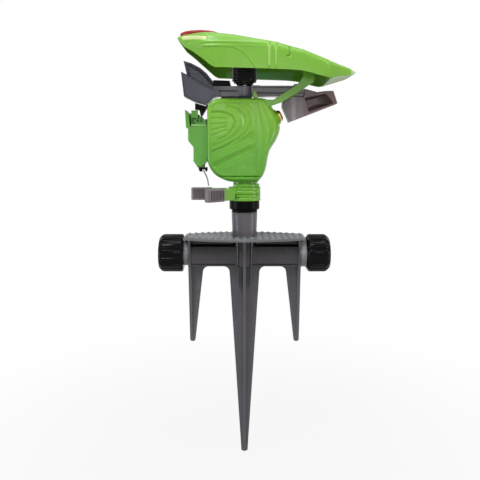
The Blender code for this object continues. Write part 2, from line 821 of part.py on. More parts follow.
FIN_FOOT = 0.0780
FIN_TOP = BODY_TOP + 0.0068
FIN_LEFT = 0.0078
FIN_PEAK = 0.0100
FIN_RIGHT = 0.0170
FIN_THICKNESS = 0.0034
COVER_SCREWS = ((-0.0262, 0.0700), (-0.0262, 0.0270), (-0.0140, 0.0140))
BRIDGE_SCREW = (0.0185, 0.0778)
BRIDGE_SCREW_SEAT = 0.0070
COVER_SCREW_BITE = 0.0060    # into the core


def neck_top():
    return HEAD_Z + FLANGE_HEIGHT + NECK_HEIGHT


def cover_screw_end():
    return CORE_HALF - COVER_SCREW_BITE


def elbow_z():
    """Where the barrel's axis meets the stem's."""
    x, height = BARREL_MOUTH
    return HEAD_Z + height - x * math.tan(math.radians(BARREL_ANGLE))


def barrel_length():
    return BARREL_MOUTH[0] / math.cos(math.radians(BARREL_ANGLE))


def along_barrel(name, radius, low, high, material=None, inner=None):
    """A rod or pipe on the barrel's axis, measured from the elbow."""
    centre = (0, elbow_z())
    if inner:
        piece = pipe(name, radius, inner, low, high, "X", centre, material, SMALL_ROUND)
    else:
        piece = rod(name, radius, low, high, "X", centre, material)
    return turn_about(piece, -BARREL_ANGLE, "Y", (0, 0, elbow_z()))


def make_nozzle(brass):
    """The brass jet, screwed into the barrel's mouth. Its bore narrows to the orifice."""
    mouth = barrel_length()
    nozzle = turned(
        "nozzle",
        [
            (BARREL_BORE / 2 - NOZZLE_WALL, mouth - NOZZLE_DEPTH),
            (BARREL_BORE / 2 - GAP, mouth - NOZZLE_DEPTH),
            (BARREL_BORE / 2 - GAP, mouth + GAP),
            (NOZZLE_FLANGE_RADIUS, mouth + GAP),
            (NOZZLE_FLANGE_RADIUS, mouth + NOZZLE_STAND_OUT * 0.6),
            (NOZZLE_TIP_RADIUS, mouth + NOZZLE_STAND_OUT),
            (NOZZLE_ORIFICE / 2, mouth + NOZZLE_STAND_OUT),
            (NOZZLE_ORIFICE / 2, mouth - NOZZLE_DEPTH * 0.2),
        ],
        "X",
        (0, elbow_z()),
        brass,
        SMALL_ROUND,
        closed=True,
    )
    return turn_about(nozzle, -BARREL_ANGLE, "Y", (0, 0, elbow_z()))


def make_cover(name, side, green):
    """A hollow shell over one side of the core. Side is -1 at the front and 1 at the rear."""
    outline = cover_outline()

    def ring(shrink, depth):
        points = [
            (COVER_END if x >= COVER_END else moved[0], moved[1])
            for (x, _), moved in zip(outline, inset(outline, shrink))
        ]
        return [(x, side * depth, z + HEAD_Z) for x, z in points]

    rings = [
        ring(0.0, CORE_HALF + GAP),
        ring(0.0, COVER_HALF - COVER_EDGE),
        ring(COVER_EDGE * 0.10, COVER_HALF - COVER_EDGE * 0.55),
        ring(COVER_EDGE * 0.40, COVER_HALF - COVER_EDGE * 0.15),
        ring(COVER_EDGE, COVER_HALF),
    ]
    cover = lofted(name, rings, green)
    low, high = sorted((side * (CORE_HALF - CUT), side * (COVER_HALF - COVER_WALL)))
    pocket = prism("pocket", raised(inset(outline, COVER_WALL), HEAD_Z), low, high)
    room_top = neck_top() + NECK_SLOPE + GAP
    holes = [rod("neck_room", NECK_RADIUS + GAP, HEAD_Z - CUT, room_top, sides=ROUND)]
    if side > 0:
        holes += [
            rod("hole", SCREW_RADIUS + GAP, 0.0, COVER_HALF + CUT, "Y", (x, z + HEAD_Z), sides=FINE_ROUND)
            for x, z in COVER_SCREWS
        ]
    return cut(cover, pocket, *holes)


def make_screw(name, under_head, end, axis, centre, steel):
    """A pan-head screw. Its head stands on under_head, away from end."""
    away = 1 if under_head > end else -1
    seat = under_head + away * GAP
    profile = [
        (SCREW_RADIUS, end),
        (SCREW_RADIUS, seat),
        (SCREW_HEAD_RADIUS, seat),
        (SCREW_HEAD_RADIUS, seat + away * SCREW_HEAD * 0.5),
        (SCREW_HEAD_RADIUS * 0.6, seat + away * SCREW_HEAD),
    ]
    return turned(name, profile, axis, centre, steel, FINE_ROUND)


# Bridge and hood
BRIDGE_STRUT = (
    # the strut's lower edge from the cheek up to the hood, then its upper edge back
    (0.0150, 0.0746),
    (0.0220, 0.0746),
    (0.0360, 0.0794),
    (0.0485, 0.0869),
    (0.0552, 0.0916),
    (0.0648, 0.0983),
    (0.0648, 0.1050),
    (0.0549, 0.1050),
    (0.0549, 0.1037),
    (0.0493, 0.0955),
    (0.0298, 0.0831),
    (0.0270, 0.0812),
    (0.0150, 0.0812),
)
BRIDGE_BACK = -0.0240        # the bar's end behind the arm pin
STRUT_TOP = 0.1040           # the upright starts here
UPRIGHT_SLOPE = 0.0061       # its top follows the hood's roof down
BRIDGE_LAP = 0.0010          # the bar runs this far into it
HOOD_POSTS = ((-0.0185, -0.0030), (0.0450, -0.0030))
BRIDGE_BAR_ROUND = 0.0040


def make_bridge(green):
    """Carries the hood and the top of the arm pin. The arm strikes the strut's far face."""
    near = -BRIDGE_FAR - BRIDGE_THICKNESS
    strut = prism("bridge", raised(BRIDGE_STRUT, HEAD_Z), near, -BRIDGE_FAR, material=green)
    low, high = BRIDGE_BAR_Z, BRIDGE_TOP
    left, right = BRIDGE_STRUT[7][0], BRIDGE_STRUT[5][0]
    foot_z = HEAD_Z + STRUT_TOP
    bar_end = left + BRIDGE_LAP
    upright = prism(
        "upright",
        [(left, foot_z), (right, foot_z), (right, high - UPRIGHT_SLOPE), (bar_end, high), (left, high)],
        near,
        -BRIDGE_FAR,
    )
    bar = prism(
        "bar",
        rounded(
            [(BRIDGE_BACK, near, BRIDGE_BAR_ROUND), (bar_end, near),
             (bar_end, BRIDGE_BAR_FAR, BRIDGE_BAR_ROUND), (BRIDGE_BACK, BRIDGE_BAR_FAR, BRIDGE_BAR_ROUND)]
        ),
        low, high, "XY",
    )
    boss = rod("boss", BRIDGE_BOSS_RADIUS, low, high + BRIDGE_BOSS)
    holes = [rod("pin_hole", PIN_RADIUS + GAP, low - CUT, high + CUT)]
    for x, y in HOOD_POSTS:
        holes.append(
            rod("hole", SCREW_RADIUS + GAP, low - CUT, high + CUT, centre=(x, y), sides=FINE_ROUND)
        )
    foot_hole = rod(
        "foot_hole", SCREW_RADIUS + GAP, bridge_screw_end() - GAP, 0.0, "Y",
        (BRIDGE_SCREW[0], BRIDGE_SCREW[1] + HEAD_Z), sides=FINE_ROUND,
    )
    return cut(fuse(strut, upright, bar, boss), *holes, foot_hole)


def bridge_screw_end():
    return -BRIDGE_FAR - BRIDGE_THICKNESS * 0.6


def make_pivot_pin(steel):
    low = HEAD_Z + BODY_TOP - PIN_DEPTH + GAP
    seat = BRIDGE_TOP + BRIDGE_BOSS + GAP
    return turned(
        "pivot_pin",
        [(PIN_RADIUS, low), (PIN_RADIUS, seat), (PIN_HEAD_RADIUS, seat),
         (PIN_HEAD_RADIUS, seat + PIN_HEAD * 0.6), (PIN_RADIUS, seat + PIN_HEAD)],
        material=steel,
        sides=SMALL_ROUND,
    )


HOOD_STATIONS = (
    # x, half width, lower edge, shoulder and crown above the head's underside
    (-0.0630, 0.0040, 0.1390, 0.1410, 0.1420),
    (-0.0560, 0.0150, 0.1300, 0.1398, 0.1436),
    (-0.0480, 0.0255, 0.1246, 0.1399, 0.1441),
    (-0.0380, 0.0325, 0.1163, 0.1400, 0.1442),
    (-0.0305, 0.0352, 0.1099, 0.1399, 0.1442),
    (-0.0265, 0.0361, 0.1077, 0.1396, 0.1439),
    (-0.0090, 0.0365, 0.1072, 0.1376, 0.1418),
    (0.0085, 0.0365, 0.1067, 0.1343, 0.1386),
    (0.0290, 0.0365, 0.1060, 0.1307, 0.1348),
    (0.0420, 0.0365, 0.1055, 0.1268, 0.1307),
    (0.0530, 0.0363, 0.1044, 0.1240, 0.1278),
    (0.0710, 0.0357, 0.0996, 0.1168, 0.1203),
    (0.0750, 0.0351, 0.0988, 0.1153, 0.1186),
    (0.0785, 0.0330, 0.0991, 0.1140, 0.1169),
    (0.0980, 0.0172, 0.1036, 0.1096, 0.1109),
    (0.1018, 0.0098, 0.1054, 0.1088, 0.1097),
    (0.1050, 0.0024, 0.1074, 0.1081, 0.1085),
)
HOOD_FORM = (
    # share of the half width, share of the way from the edge to the shoulder
    (1.00, 0.00),
    (0.975, 0.55),
    (0.86, 0.84),
    (0.68, 1.00),
)


HOOD_STEPS = 2               # rings from one station to the next


def hood_stations():
    """The stations with smooth ones between them."""
    stations = []
    last = len(HOOD_STATIONS) - 1
    for index in range(last):
        before = HOOD_STATIONS[max(0, index - 1)]
        low, high = HOOD_STATIONS[index], HOOD_STATIONS[index + 1]
        after = HOOD_STATIONS[min(last, index + 2)]
        for step in range(HOOD_STEPS):
            share = step / HOOD_STEPS
            width = high[0] - low[0]
            station = []
            for a, b, c, d in zip(before, low, high, after):
                lead = (c - a) / max(high[0] - before[0], width) * width
                trail = (d - b) / max(after[0] - low[0], width) * width
                cubic = share ** 3
                square = share ** 2
                station.append(
                    (2 * cubic - 3 * square + 1) * b + (cubic - 2 * square + share) * lead
                    + (3 * square - 2 * cubic) * c + (cubic - square) * trail
                )
            stations.append(tuple(station))
    return stations + [HOOD_STATIONS[-1]]


def hood_at(x):
    """Half width, lower edge, shoulder and crown of the hood at a place along it."""
    stations = hood_stations()
    for low, high in zip(stations, stations[1:]):
        if x <= high[0]:
            share = (x - low[0]) / (high[0] - low[0])
            return tuple(a + (b - a) * share for a, b in zip(low[1:], high[1:]))
    return stations[-1][1:]


def hood_ring(x, half, edge, shoulder, crown):
    """One cross-section, from the far edge over the crown to the near edge."""
    side = [(half * across, edge + (shoulder - edge) * up) for across, up in HOOD_FORM]
    side.append((half * 0.36, shoulder + (crown - shoulder) * 0.74))
    points = side + [(0.0, crown)] + [(-y, z) for y, z in reversed(side)]
    return [(x, y, z + HEAD_Z) for y, z in points]


def make_hood(green):
    """A beak-shaped shell, open below, with two screw posts under its roof."""
    stations = hood_stations()
    hood = lofted("hood", [hood_ring(*station) for station in stations], green)
    wall = HOOD_WALL
    rings = []
    for x, half, edge, shoulder, crown in stations[1:-1]:
        if shoulder - 1.6 * wall > edge and half > 3 * wall:
            ring = hood_ring(x, half - wall, edge - GAP, shoulder - wall, crown - wall)
            ring[0] = (ring[0][0], ring[0][1], ring[0][2] - 2 * CUT)
            ring[-1] = (ring[-1][0], ring[-1][1], ring[-1][2] - 2 * CUT)
            rings.append(ring)
    hollow = lofted("hollow", rings)
    floor = insert_floor()
    recess = prism("recess", insert_plan(GAP), floor, floor + 2 * CUT, "XY")
    hood = cut(hood, hollow, recess)
    posts = []
    pilots = []
    for x, y in HOOD_POSTS:
        roof = hood_at(x)[3] + HEAD_Z - wall
        posts.append(rod("post", HOOD_POST_RADIUS, BRIDGE_TOP + GAP, roof, centre=(x, y)))
        pilots.append(
            rod("pilot", SCREW_RADIUS + GAP, BRIDGE_TOP - CUT, BRIDGE_TOP + SCREW_LENGTH * 0.62,
                centre=(x, y), sides=FINE_ROUND)
        )
    return cut(fuse(hood, *posts), *pilots)


INSERT_ENDS = (-0.0612, -0.0232)
INSERT_HALF = 0.0118
INSERT_SIDES = 28
INSERT_SEAT = -0.0380        # it lies on the hood's crown here


def insert_floor():
    return HEAD_Z + hood_at(INSERT_SEAT)[3] - INSERT_SINK


def insert_plan(margin=0.0):
    """The red insert seen from above, a long lens."""
    low, high = INSERT_ENDS
    middle, reach = (low + high) / 2, (high - low) / 2 + margin
    points = []
    for step in range(INSERT_SIDES):
        angle = 2 * math.pi * step / INSERT_SIDES
        across = math.sin(angle) * abs(math.sin(angle)) ** 0.15
        points.append((middle + reach * math.cos(angle), (INSERT_HALF + margin) * across))
    return points


def make_insert(red):
    """A low dome let into the hood's tail."""
    plan = insert_plan()
    middle = sum(INSERT_ENDS) / 2
    floor = insert_floor() + GAP
    rings = []
    for shrink, lift in ((1.0, 0.0), (1.0, 0.40), (0.93, 0.66), (0.70, 0.90), (0.35, 1.0)):
        level = floor + INSERT_HEIGHT * lift + (INSERT_SINK if lift else 0)
        rings.append([(middle + (x - middle) * shrink, y * shrink, level) for x, y in plan])
    return lofted("hood_insert", rings, red)


# Impact arm, heights are from the hub's underside
COUNTERWEIGHT_UNDERSIDE = (
    (-0.0569, -0.0001),
    (-0.0478, -0.0047),
    (-0.0363, -0.0081),
    (-0.0299, -0.0014),
    (-0.0237, 0.0007),
)
FAR_BLADE_TOP = (
    (-0.0237, 0.0108),
    (-0.0309, 0.0164),
    (-0.0363, 0.0232),
    (-0.0423, 0.0283),
    (-0.0512, 0.0329),
    (-0.0584, 0.0351),
    (-0.0556, 0.0232),
)
NEAR_BLADE_TOP = (
    (-0.0237, 0.0057),
    (-0.0280, 0.0061),
    (-0.0356, 0.0090),
    (-0.0451, 0.0147),
    (-0.0537, 0.0199),
    (-0.0597, 0.0232),
)
FLOOR_TOP = (
    (-0.0237, 0.0047),
    (-0.0310, 0.0033),
    (-0.0370, -0.0032),
    (-0.0475, -0.0002),
    (-0.0572, 0.0043),
)
BLADE_HALF = 0.0066
BLADE = 0.0026


def make_arm(grey):
    """Hub, striking bar and the two-bladed counterweight, moulded in one."""
    low, high = ARM_Z, HUB_TOP
    bar = prism(
        "impact_arm",
        rounded([(BAR_LEFT, low), (BAR_END, low, 0.0012), (BAR_END, high, 0.0012), (BAR_LEFT, high)], 2),
        -BAR_NEAR,
        BAR_FAR,
        material=grey,
    )
    step_left, step_right = BAR_LEFT - CUT, -HUB_RADIUS * 0.86
    trim = prism(
        "trim",
        [(step_left, low - CUT), (step_right, low - CUT), (step_right, high + CUT), (step_left, high + CUT)],
        -2 * CUT, -BAR_FAR,
    )
    arm = cut(bar, trim)
    hub = rod("hub", HUB_RADIUS, low, high, sides=ROUND)
    under = COUNTERWEIGHT_UNDERSIDE
    inner = BLADE_HALF - BLADE
    middle = BLADE_HALF - BLADE / 2
    far = prism("far", raised(under + FAR_BLADE_TOP, low), inner, BLADE_HALF)
    near = prism("near", raised(under + NEAR_BLADE_TOP, low), -BLADE_HALF, -inner)
    floor = prism("floor", raised(under + FLOOR_TOP, low), -middle, middle)
    arm = fuse(arm, hub, far, near, floor)
    pin_hole = rod("pin_hole", PIN_RADIUS + RUNNING, low - CUT, high + CUT)
    screw_hole = rod(
        "screw_hole", SCREW_RADIUS + GAP, low - CUT, high + CUT, centre=SPOON_SCREW, sides=FINE_ROUND
    )
    return cut(arm, pin_hole, screw_hole)


SPOON_SCREW = (0.0490, -0.0015)
SPOON_SCREW_DEPTH = 0.0060
SPOON_JET = (0.0010, 0.0340)     # the jet's channel, counted from the barrel's mouth
SPOON_OUTLINE = (
    (0.0356, -0.0053),
    (0.0356, -0.0098),
    (0.0419, -0.0243),
    (0.0874, -0.0067),
    (0.0836, 0.0052),
    (0.0751, 0.0048),
    (0.0683, 0.0039),
    (0.0567, 0.0069),
)
SPOON_WINDOW = ((0.0562, -0.0016), (0.0768, 0.0026), (0.0842, -0.0066), (0.0600, -0.0150))


def make_spoon(grey):
    """The paddle that the jet pushes aside. The jet enters by its near end and leaves by the window."""
    low, high = -BAR_NEAR, SPOON_FAR
    shelf = -GAP
    outline = SPOON_OUTLINE + ((BAR_END + GAP, 0.0069), (BAR_END + GAP, shelf), (0.0410, shelf))
    spoon = prism("spoon", raised(outline, ARM_Z), low, high, material=grey)
    window = prism("window", raised(SPOON_WINDOW, ARM_Z), low - CUT, high - SPOON_WALL * 2)
    jet_from, jet_to = (barrel_length() + place for place in SPOON_JET)
    channel = along_barrel("channel", NOZZLE_FLANGE_RADIUS, jet_from, jet_to)
    pilot_low = ARM_Z - SPOON_SCREW_DEPTH - GAP
    pilot = rod("pilot", SCREW_RADIUS + GAP, pilot_low, ARM_Z + CUT, centre=SPOON_SCREW, sides=FINE_ROUND)
    return cut(spoon, window, channel, pilot)


BUMPER_OUTLINE = ((-0.0298, 0.0), (-0.0128, 0.0), (-0.0138, 0.0048), (-0.0294, 0.0054))


def make_arm_bumper(rubber):
    """The pad on the arm's left bar. It ends short of the far blade."""
    outline = raised(BUMPER_OUTLINE, HUB_TOP + GAP)
    return prism("arm_bumper", outline, -BAR_FAR + GAP, BLADE_HALF - BLADE - GAP, material=rubber)


def spring_points():
    """A coil that narrows to its foot, with a straight leg at each end."""
    points = [(SPRING_RADIUS + SPRING_LEG, SPRING_FOOT_RADIUS, SPRING_FOOT_Z)]
    for index in range(SPRING_CURLS * SPRING_POINTS + 1):
        curl = index / SPRING_POINTS
        share = min(1.0, curl / SPRING_NARROW_CURLS)
        share = share * share * (3 - 2 * share)
        radius = SPRING_FOOT_RADIUS + (SPRING_RADIUS - SPRING_FOOT_RADIUS) * share
        angle = 2 * math.pi * (curl + 0.25)
        height = SPRING_FOOT_Z + SPRING_PITCH * curl
        points.append((radius * math.cos(angle), radius * math.sin(angle), height))
    points.append((-SPRING_LEG, SPRING_RADIUS, points[-1][2]))
    return points


def least_gap(points, radius, apart):
    """The least distance between a tube's own turns."""
    best = 1.0
    for index, one in enumerate(points):
        for other in points[index + apart:]:
            best = min(best, math.dist(one, other) - 2 * radius)
    return best


def make_arm_washer(black):
    low = HEAD_Z + BODY_TOP + GAP
    return pipe("arm_washer", ARM_WASHER_RADIUS, PIN_RADIUS + GAP, low, ARM_Z - GAP, material=black)


def make_spring(black):
    points = spring_points()
    gap = least_gap(points, SPRING_WIRE / 2, SPRING_POINTS // 2 + 2)
    print(f"arm_spring: least gap between curls {gap * 1000:.2f} mm")
    curve = bpy.data.curves.new("arm_spring", "CURVE")
    curve.dimensions = "3D"
    curve.bevel_depth = SPRING_WIRE / 2
    curve.bevel_resolution = 1
    curve.use_fill_caps = True
    path = curve.splines.new("POLY")
    path.points.add(len(points) - 1)
    for point, place in zip(path.points, points):
        point.co = (*place, 1.0)
    made = bpy.data.objects.new("coil", curve)
    bpy.context.scene.collection.objects.link(made)
    bpy.context.view_layer.update()
    graph = bpy.context.evaluated_depsgraph_get()
    mesh = bpy.data.meshes.new_from_object(made.evaluated_get(graph))
    bpy.data.objects.remove(made)
    mesh.materials.clear()
    mesh.materials.append(black)
    spring = bpy.data.objects.new("arm_spring", mesh)
    bpy.context.scene.collection.objects.link(spring)
    return spring


# Trip mechanism, heights are from the head's underside
TRIP_OUTER = -0.0525
TRIP_RIM = 0.0564
TRIP_FLOOR = 0.0192
TRIP_WAIST = -0.0475
TRIP_SLOT_HALF = 0.0062
TRIP_STEP = (0.0432, 0.0370)     # the outer wall steps in between these levels
TRIP_HIP = 0.0240                # its lower corners
TRIP_FOOT = (-0.0440, -0.0400)   # the foot's ends
TRIP_ROUNDS = (0.0020, 0.0030)
TRIP_LIP = (
    # the tall wall's outline
    (-0.0557, 0.0722),
    (-0.0530, 0.0706),
    (-0.0505, 0.0545),
    (-0.0546, 0.0552),
)
TRIP_BACK = (
    # the far wall's top, from the outer end to the inner
    (-0.0530, 0.0706),
    (-0.0440, 0.0692),
    (-0.0398, 0.0646),
    (-0.0352, 0.0650),
)
TRIP_BACK_FROM = 0.0112      # clear of the lever's head as it tips
TRIP_BACK_TO = 0.0130
TRIP_BACK_FOOT = 0.0500


def trip_inner_side():
    """The housing hangs against the covers' left edge."""
    return cover_left() - GAP


def cover_left():
    return min(x for x, _ in cover_outline())


def make_trip_housing(green):
    """An open cup with a tall outer wall and a slot in its floor."""
    right = trip_inner_side()
    high_step, low_step = TRIP_STEP
    small, large = TRIP_ROUNDS
    outline = rounded(
        [
            (right, TRIP_RIM),
            (TRIP_OUTER, TRIP_RIM),
            (TRIP_OUTER, high_step, small),
            (TRIP_WAIST, low_step, small),
            (TRIP_WAIST, TRIP_HIP, large),
            (TRIP_FOOT[0], TRIP_FLOOR, large),
            (TRIP_FOOT[1], TRIP_FLOOR, large),
            (right, TRIP_HIP),
        ],
        3,
    )
    cup = prism("trip_housing", raised(outline, HEAD_Z), -TRIP_HALF, TRIP_HALF, material=green)
    tall = prism("tall", raised(TRIP_LIP, HEAD_Z), -TRIP_HALF * 0.8, TRIP_HALF * 0.8)
    back = prism(
        "back",
        raised(
            [(TRIP_BACK[0][0], TRIP_BACK_FOOT), *TRIP_BACK, (TRIP_BACK[-1][0], TRIP_BACK_FOOT)], HEAD_Z
        ),
        TRIP_BACK_FROM, TRIP_BACK_TO,
    )
    shoulder = prism(
        "shoulder",
        raised(
            [(TRIP_OUTER + small, TRIP_BACK_FOOT), (TRIP_BACK[-1][0], TRIP_BACK_FOOT),
             (TRIP_BACK[-1][0], TRIP_RIM - GAP), (TRIP_OUTER + small, TRIP_RIM - GAP)],
            HEAD_Z,
        ),
        TRIP_HALF - TRIP_WALL / 2, (TRIP_BACK_FROM + TRIP_BACK_TO) / 2,
    )
    cup = fuse(cup, tall, back, shoulder)
    wall = TRIP_WALL
    cavity = prism(
        "cavity",
        raised(
            [(right - wall, TRIP_RIM + CUT), (TRIP_OUTER + wall, TRIP_RIM + CUT),
             (TRIP_OUTER + wall, high_step + wall * 0.4), (TRIP_WAIST + wall, low_step + wall * 0.4),
             (TRIP_WAIST + wall, TRIP_FLOOR + wall * 1.6),
             (right - wall, TRIP_FLOOR + wall * 1.6)],
            HEAD_Z,
        ),
        -TRIP_HALF + wall,
        TRIP_HALF - wall,
    )
    low, high = HEAD_Z + TRIP_FLOOR - CUT, HEAD_Z + TRIP_FLOOR + CUT
    left, inner = TRIP_WAIST + wall, right - wall
    slot = prism(
        "slot", [(left, low), (inner, low), (inner, high), (left, high)], -TRIP_SLOT_HALF, TRIP_SLOT_HALF
    )
    axis = (0, HEAD_Z + TRIP_PIN_HEIGHT)
    pin_hole = rod("pin_hole", TRIP_PIN_RADIUS + GAP, TRIP_WAIST - CUT, right + CUT, "X", axis)
    return cut(cup, cavity, slot, pin_hole)


def make_trip_pin(steel):
    return rod(
        "trip_pin", TRIP_PIN_RADIUS, TRIP_WAIST + GAP, trip_inner_side() - GAP, "X",
        (0, HEAD_Z + TRIP_PIN_HEIGHT), steel, 16,
    )


def lever_span():
    """The shank's faces towards the outer and the inner wall of the housing."""
    return TRIP_WAIST + TRIP_WALL + RUNNING, trip_inner_side() - TRIP_WALL - RUNNING


LEVER_HEAD_LOW = 0.0583
LEVER_HEAD_TOP = 0.0664
LEVER_HEAD_OUTER = -0.0499
LEVER_HEAD_INNER = -0.0362
LEVER_STEP = ((-0.0401, -0.0382), 0.0634)   # its top drops to this level between these places
CLIP_TOP = 0.0182
CLIP_BOTTOM = 0.0142
CLIP_OUTER = -0.0437
CLIP_INNER = -0.0349
CLIP_HALF = 0.0028
CLIP_SLOT = 0.0010           # half width
CLIP_ROOF = 0.0008
WIRE_PIN = (-0.0392, 0.0157)
WIRE_PIN_RADIUS = 0.0006
WIRE_EYE = 0.0014


PILLAR_RIGHT = -0.0440
PILLAR_TOP = (0.0745, 0.0752, 0.0740)
PILLAR_TIP = -0.0470
PILLAR_FAR = -0.0013
LEVER_LAP = 0.0010           # pieces of the lever run this far into each other


def make_trip_lever(green):
    """Tips on its pin when the wire meets a tab, and carries the pawl up or down."""
    outer, inner = lever_span()
    (step_from, step_to), step_level = LEVER_STEP
    shank = prism(
        "trip_lever",
        raised([(outer, CLIP_TOP + GAP), (inner, CLIP_TOP + GAP), (inner, LEVER_HEAD_LOW + LEVER_LAP),
                (outer, LEVER_HEAD_LOW + LEVER_LAP)], HEAD_Z),
        -LEVER_HALF, LEVER_HALF, material=green,
    )
    hub = rod("hub", LEVER_HUB_RADIUS, outer, inner, "X", (0, HEAD_Z + TRIP_PIN_HEIGHT))
    head = prism(
        "head",
        raised([(LEVER_HEAD_OUTER, LEVER_HEAD_LOW), (LEVER_HEAD_INNER, LEVER_HEAD_LOW),
                (LEVER_HEAD_INNER, step_level), (step_to, step_level), (step_from, LEVER_HEAD_TOP),
                (LEVER_HEAD_OUTER, LEVER_HEAD_TOP)], HEAD_Z),
        -LEVER_HEAD_HALF, LEVER_HEAD_HALF,
    )
    pillar = prism(
        "pillar",
        raised([(LEVER_HEAD_OUTER, LEVER_HEAD_TOP - LEVER_LAP), (PILLAR_RIGHT, LEVER_HEAD_TOP - LEVER_LAP),
                (PILLAR_RIGHT, PILLAR_TOP[2]), (PILLAR_TIP, PILLAR_TOP[1]),
                (LEVER_HEAD_OUTER, PILLAR_TOP[0])], HEAD_Z),
        -LEVER_HEAD_HALF, PILLAR_FAR,
    )
    lever = fuse(shank, hub, head, pillar)
    axis = (0, HEAD_Z + TRIP_PIN_HEIGHT)
    pin_hole = rod("pin_hole", TRIP_PIN_RADIUS + RUNNING, outer - CUT, inner + CUT, "X", axis)
    return cut(lever, pin_hole)


PAWL_CLEARANCE = 0.0011
PAWL_LEFT = -0.0478
PAWL_RIGHT = -0.0394
PAWL_FOOT = (-0.0436, -0.0404)
PAWL_STEP = 0.0745           # stands clear over the pillar
PAWL_SIDES = (-0.0009, 0.0055)


def make_pawl(black):
    """The stop that the lever lifts into the counterweight's way."""
    foot = LEVER_HEAD_TOP + GAP
    under = [(x, z + ARM_Z - HEAD_Z - PAWL_CLEARANCE) for x, z in COUNTERWEIGHT_UNDERSIDE[1:3]]
    slope = (under[1][1] - under[0][1]) / (under[1][0] - under[0][0])
    outline = [
        (PAWL_LEFT, PAWL_STEP),
        (PAWL_FOOT[0], PAWL_STEP),
        (PAWL_FOOT[0], foot),
        (PAWL_FOOT[1], foot),
        (PAWL_RIGHT, PAWL_STEP),
        (PAWL_RIGHT, under[0][1] + slope * (PAWL_RIGHT - under[0][0])),
        (PAWL_LEFT, under[0][1]),
    ]
    return prism("reversing_pawl", raised(outline, HEAD_Z), *PAWL_SIDES, material=black)


def make_wire_clip(black):
    """The fork under the lever that holds the wire's eye."""
    clip = prism(
        "wire_clip",
        raised(rounded([(CLIP_OUTER, CLIP_BOTTOM, 0.0008), (CLIP_INNER, CLIP_BOTTOM, 0.0008),
                        (CLIP_INNER, CLIP_TOP), (CLIP_OUTER, CLIP_TOP)], 2), HEAD_Z),
        -CLIP_HALF, CLIP_HALF, material=black,
    )
    slot = prism(
        "slot",
        raised([(CLIP_OUTER - CUT, CLIP_BOTTOM - CUT), (CLIP_INNER + CUT, CLIP_BOTTOM - CUT),
                (CLIP_INNER + CUT, CLIP_TOP - CLIP_ROOF), (CLIP_OUTER - CUT, CLIP_TOP - CLIP_ROOF)], HEAD_Z),
        -CLIP_SLOT, CLIP_SLOT,
    )
    x, z = WIRE_PIN
    hole = rod("hole", WIRE_PIN_RADIUS + GAP / 2, -CUT, CUT, "Y", (x, z + HEAD_Z), sides=FINE_ROUND)
    return cut(clip, slot, hole)


def make_wire_pin(steel):
    x, z = WIRE_PIN
    return rod("wire_pin", WIRE_PIN_RADIUS, -CLIP_HALF, CLIP_HALF, "Y", (x, z + HEAD_Z), steel, FINE_ROUND)


WIRE_ROUTE = ((-0.0388, 0.0148), (-0.0377, 0.0126), (-0.0363, 0.0102), (-0.0351, 0.0067), (-0.0344, 0.0030))
WIRE_END = -0.0340
WIRE_CLEARANCE = 0.0013      # over the tabs, so that the end clears them as the wire folds up


def make_trip_wire(steel):
    """A spring wire with an eye. It ends just over the tabs."""
    x, z = WIRE_PIN
    eye = pipe(
        "trip_wire", WIRE_EYE, WIRE_PIN_RADIUS + GAP / 2, -WIRE_RADIUS, WIRE_RADIUS,
        "Y", (x, z + HEAD_Z), steel, FINE_ROUND,
    )
    end = (WIRE_END, tab_levels()[1] + WIRE_CLEARANCE - HEAD_Z)
    rings = []
    route = WIRE_ROUTE + (end,)
    for index, (px, pz) in enumerate(route):
        before = Vector(route[max(0, index - 1)])
        after = Vector(route[min(len(route) - 1, index + 1)])
        along = (after - before).normalized()
        if index == len(route) - 1:
            along = Vector((0.0, -1.0))
        side = Vector((along.y, -along.x))
        rings.append(
            [(px + a * side.x, b, HEAD_Z + pz + a * side.y) for a, b in circle(WIRE_RADIUS, 8)]
        )
    return fuse(eye, lofted("wire", rings))


LEAF_TOP = 0.0520
LEAF_BEND = 0.0450
LEAF_TIP = 0.0420
LEAF_MARGIN = 0.0010         # to the walls on either side


def make_trip_spring(steel):
    """A leaf from the housing's far wall that snaps the lever to either side."""
    far = TRIP_HALF - TRIP_WALL - GAP
    near = LEVER_HALF + GAP
    leaf = SPRING_LEAF
    outline = [
        (far, LEAF_TOP), (far - leaf, LEAF_TOP), (far - leaf, LEAF_BEND),
        (near, LEAF_TIP), (near, LEAF_TIP - leaf), (far, LEAF_BEND - 2 * leaf),
    ]
    outer, inner = lever_span()
    return prism("trip_spring", raised(outline, HEAD_Z), outer + LEAF_MARGIN, inner - LEAF_MARGIN, "YZ", steel)


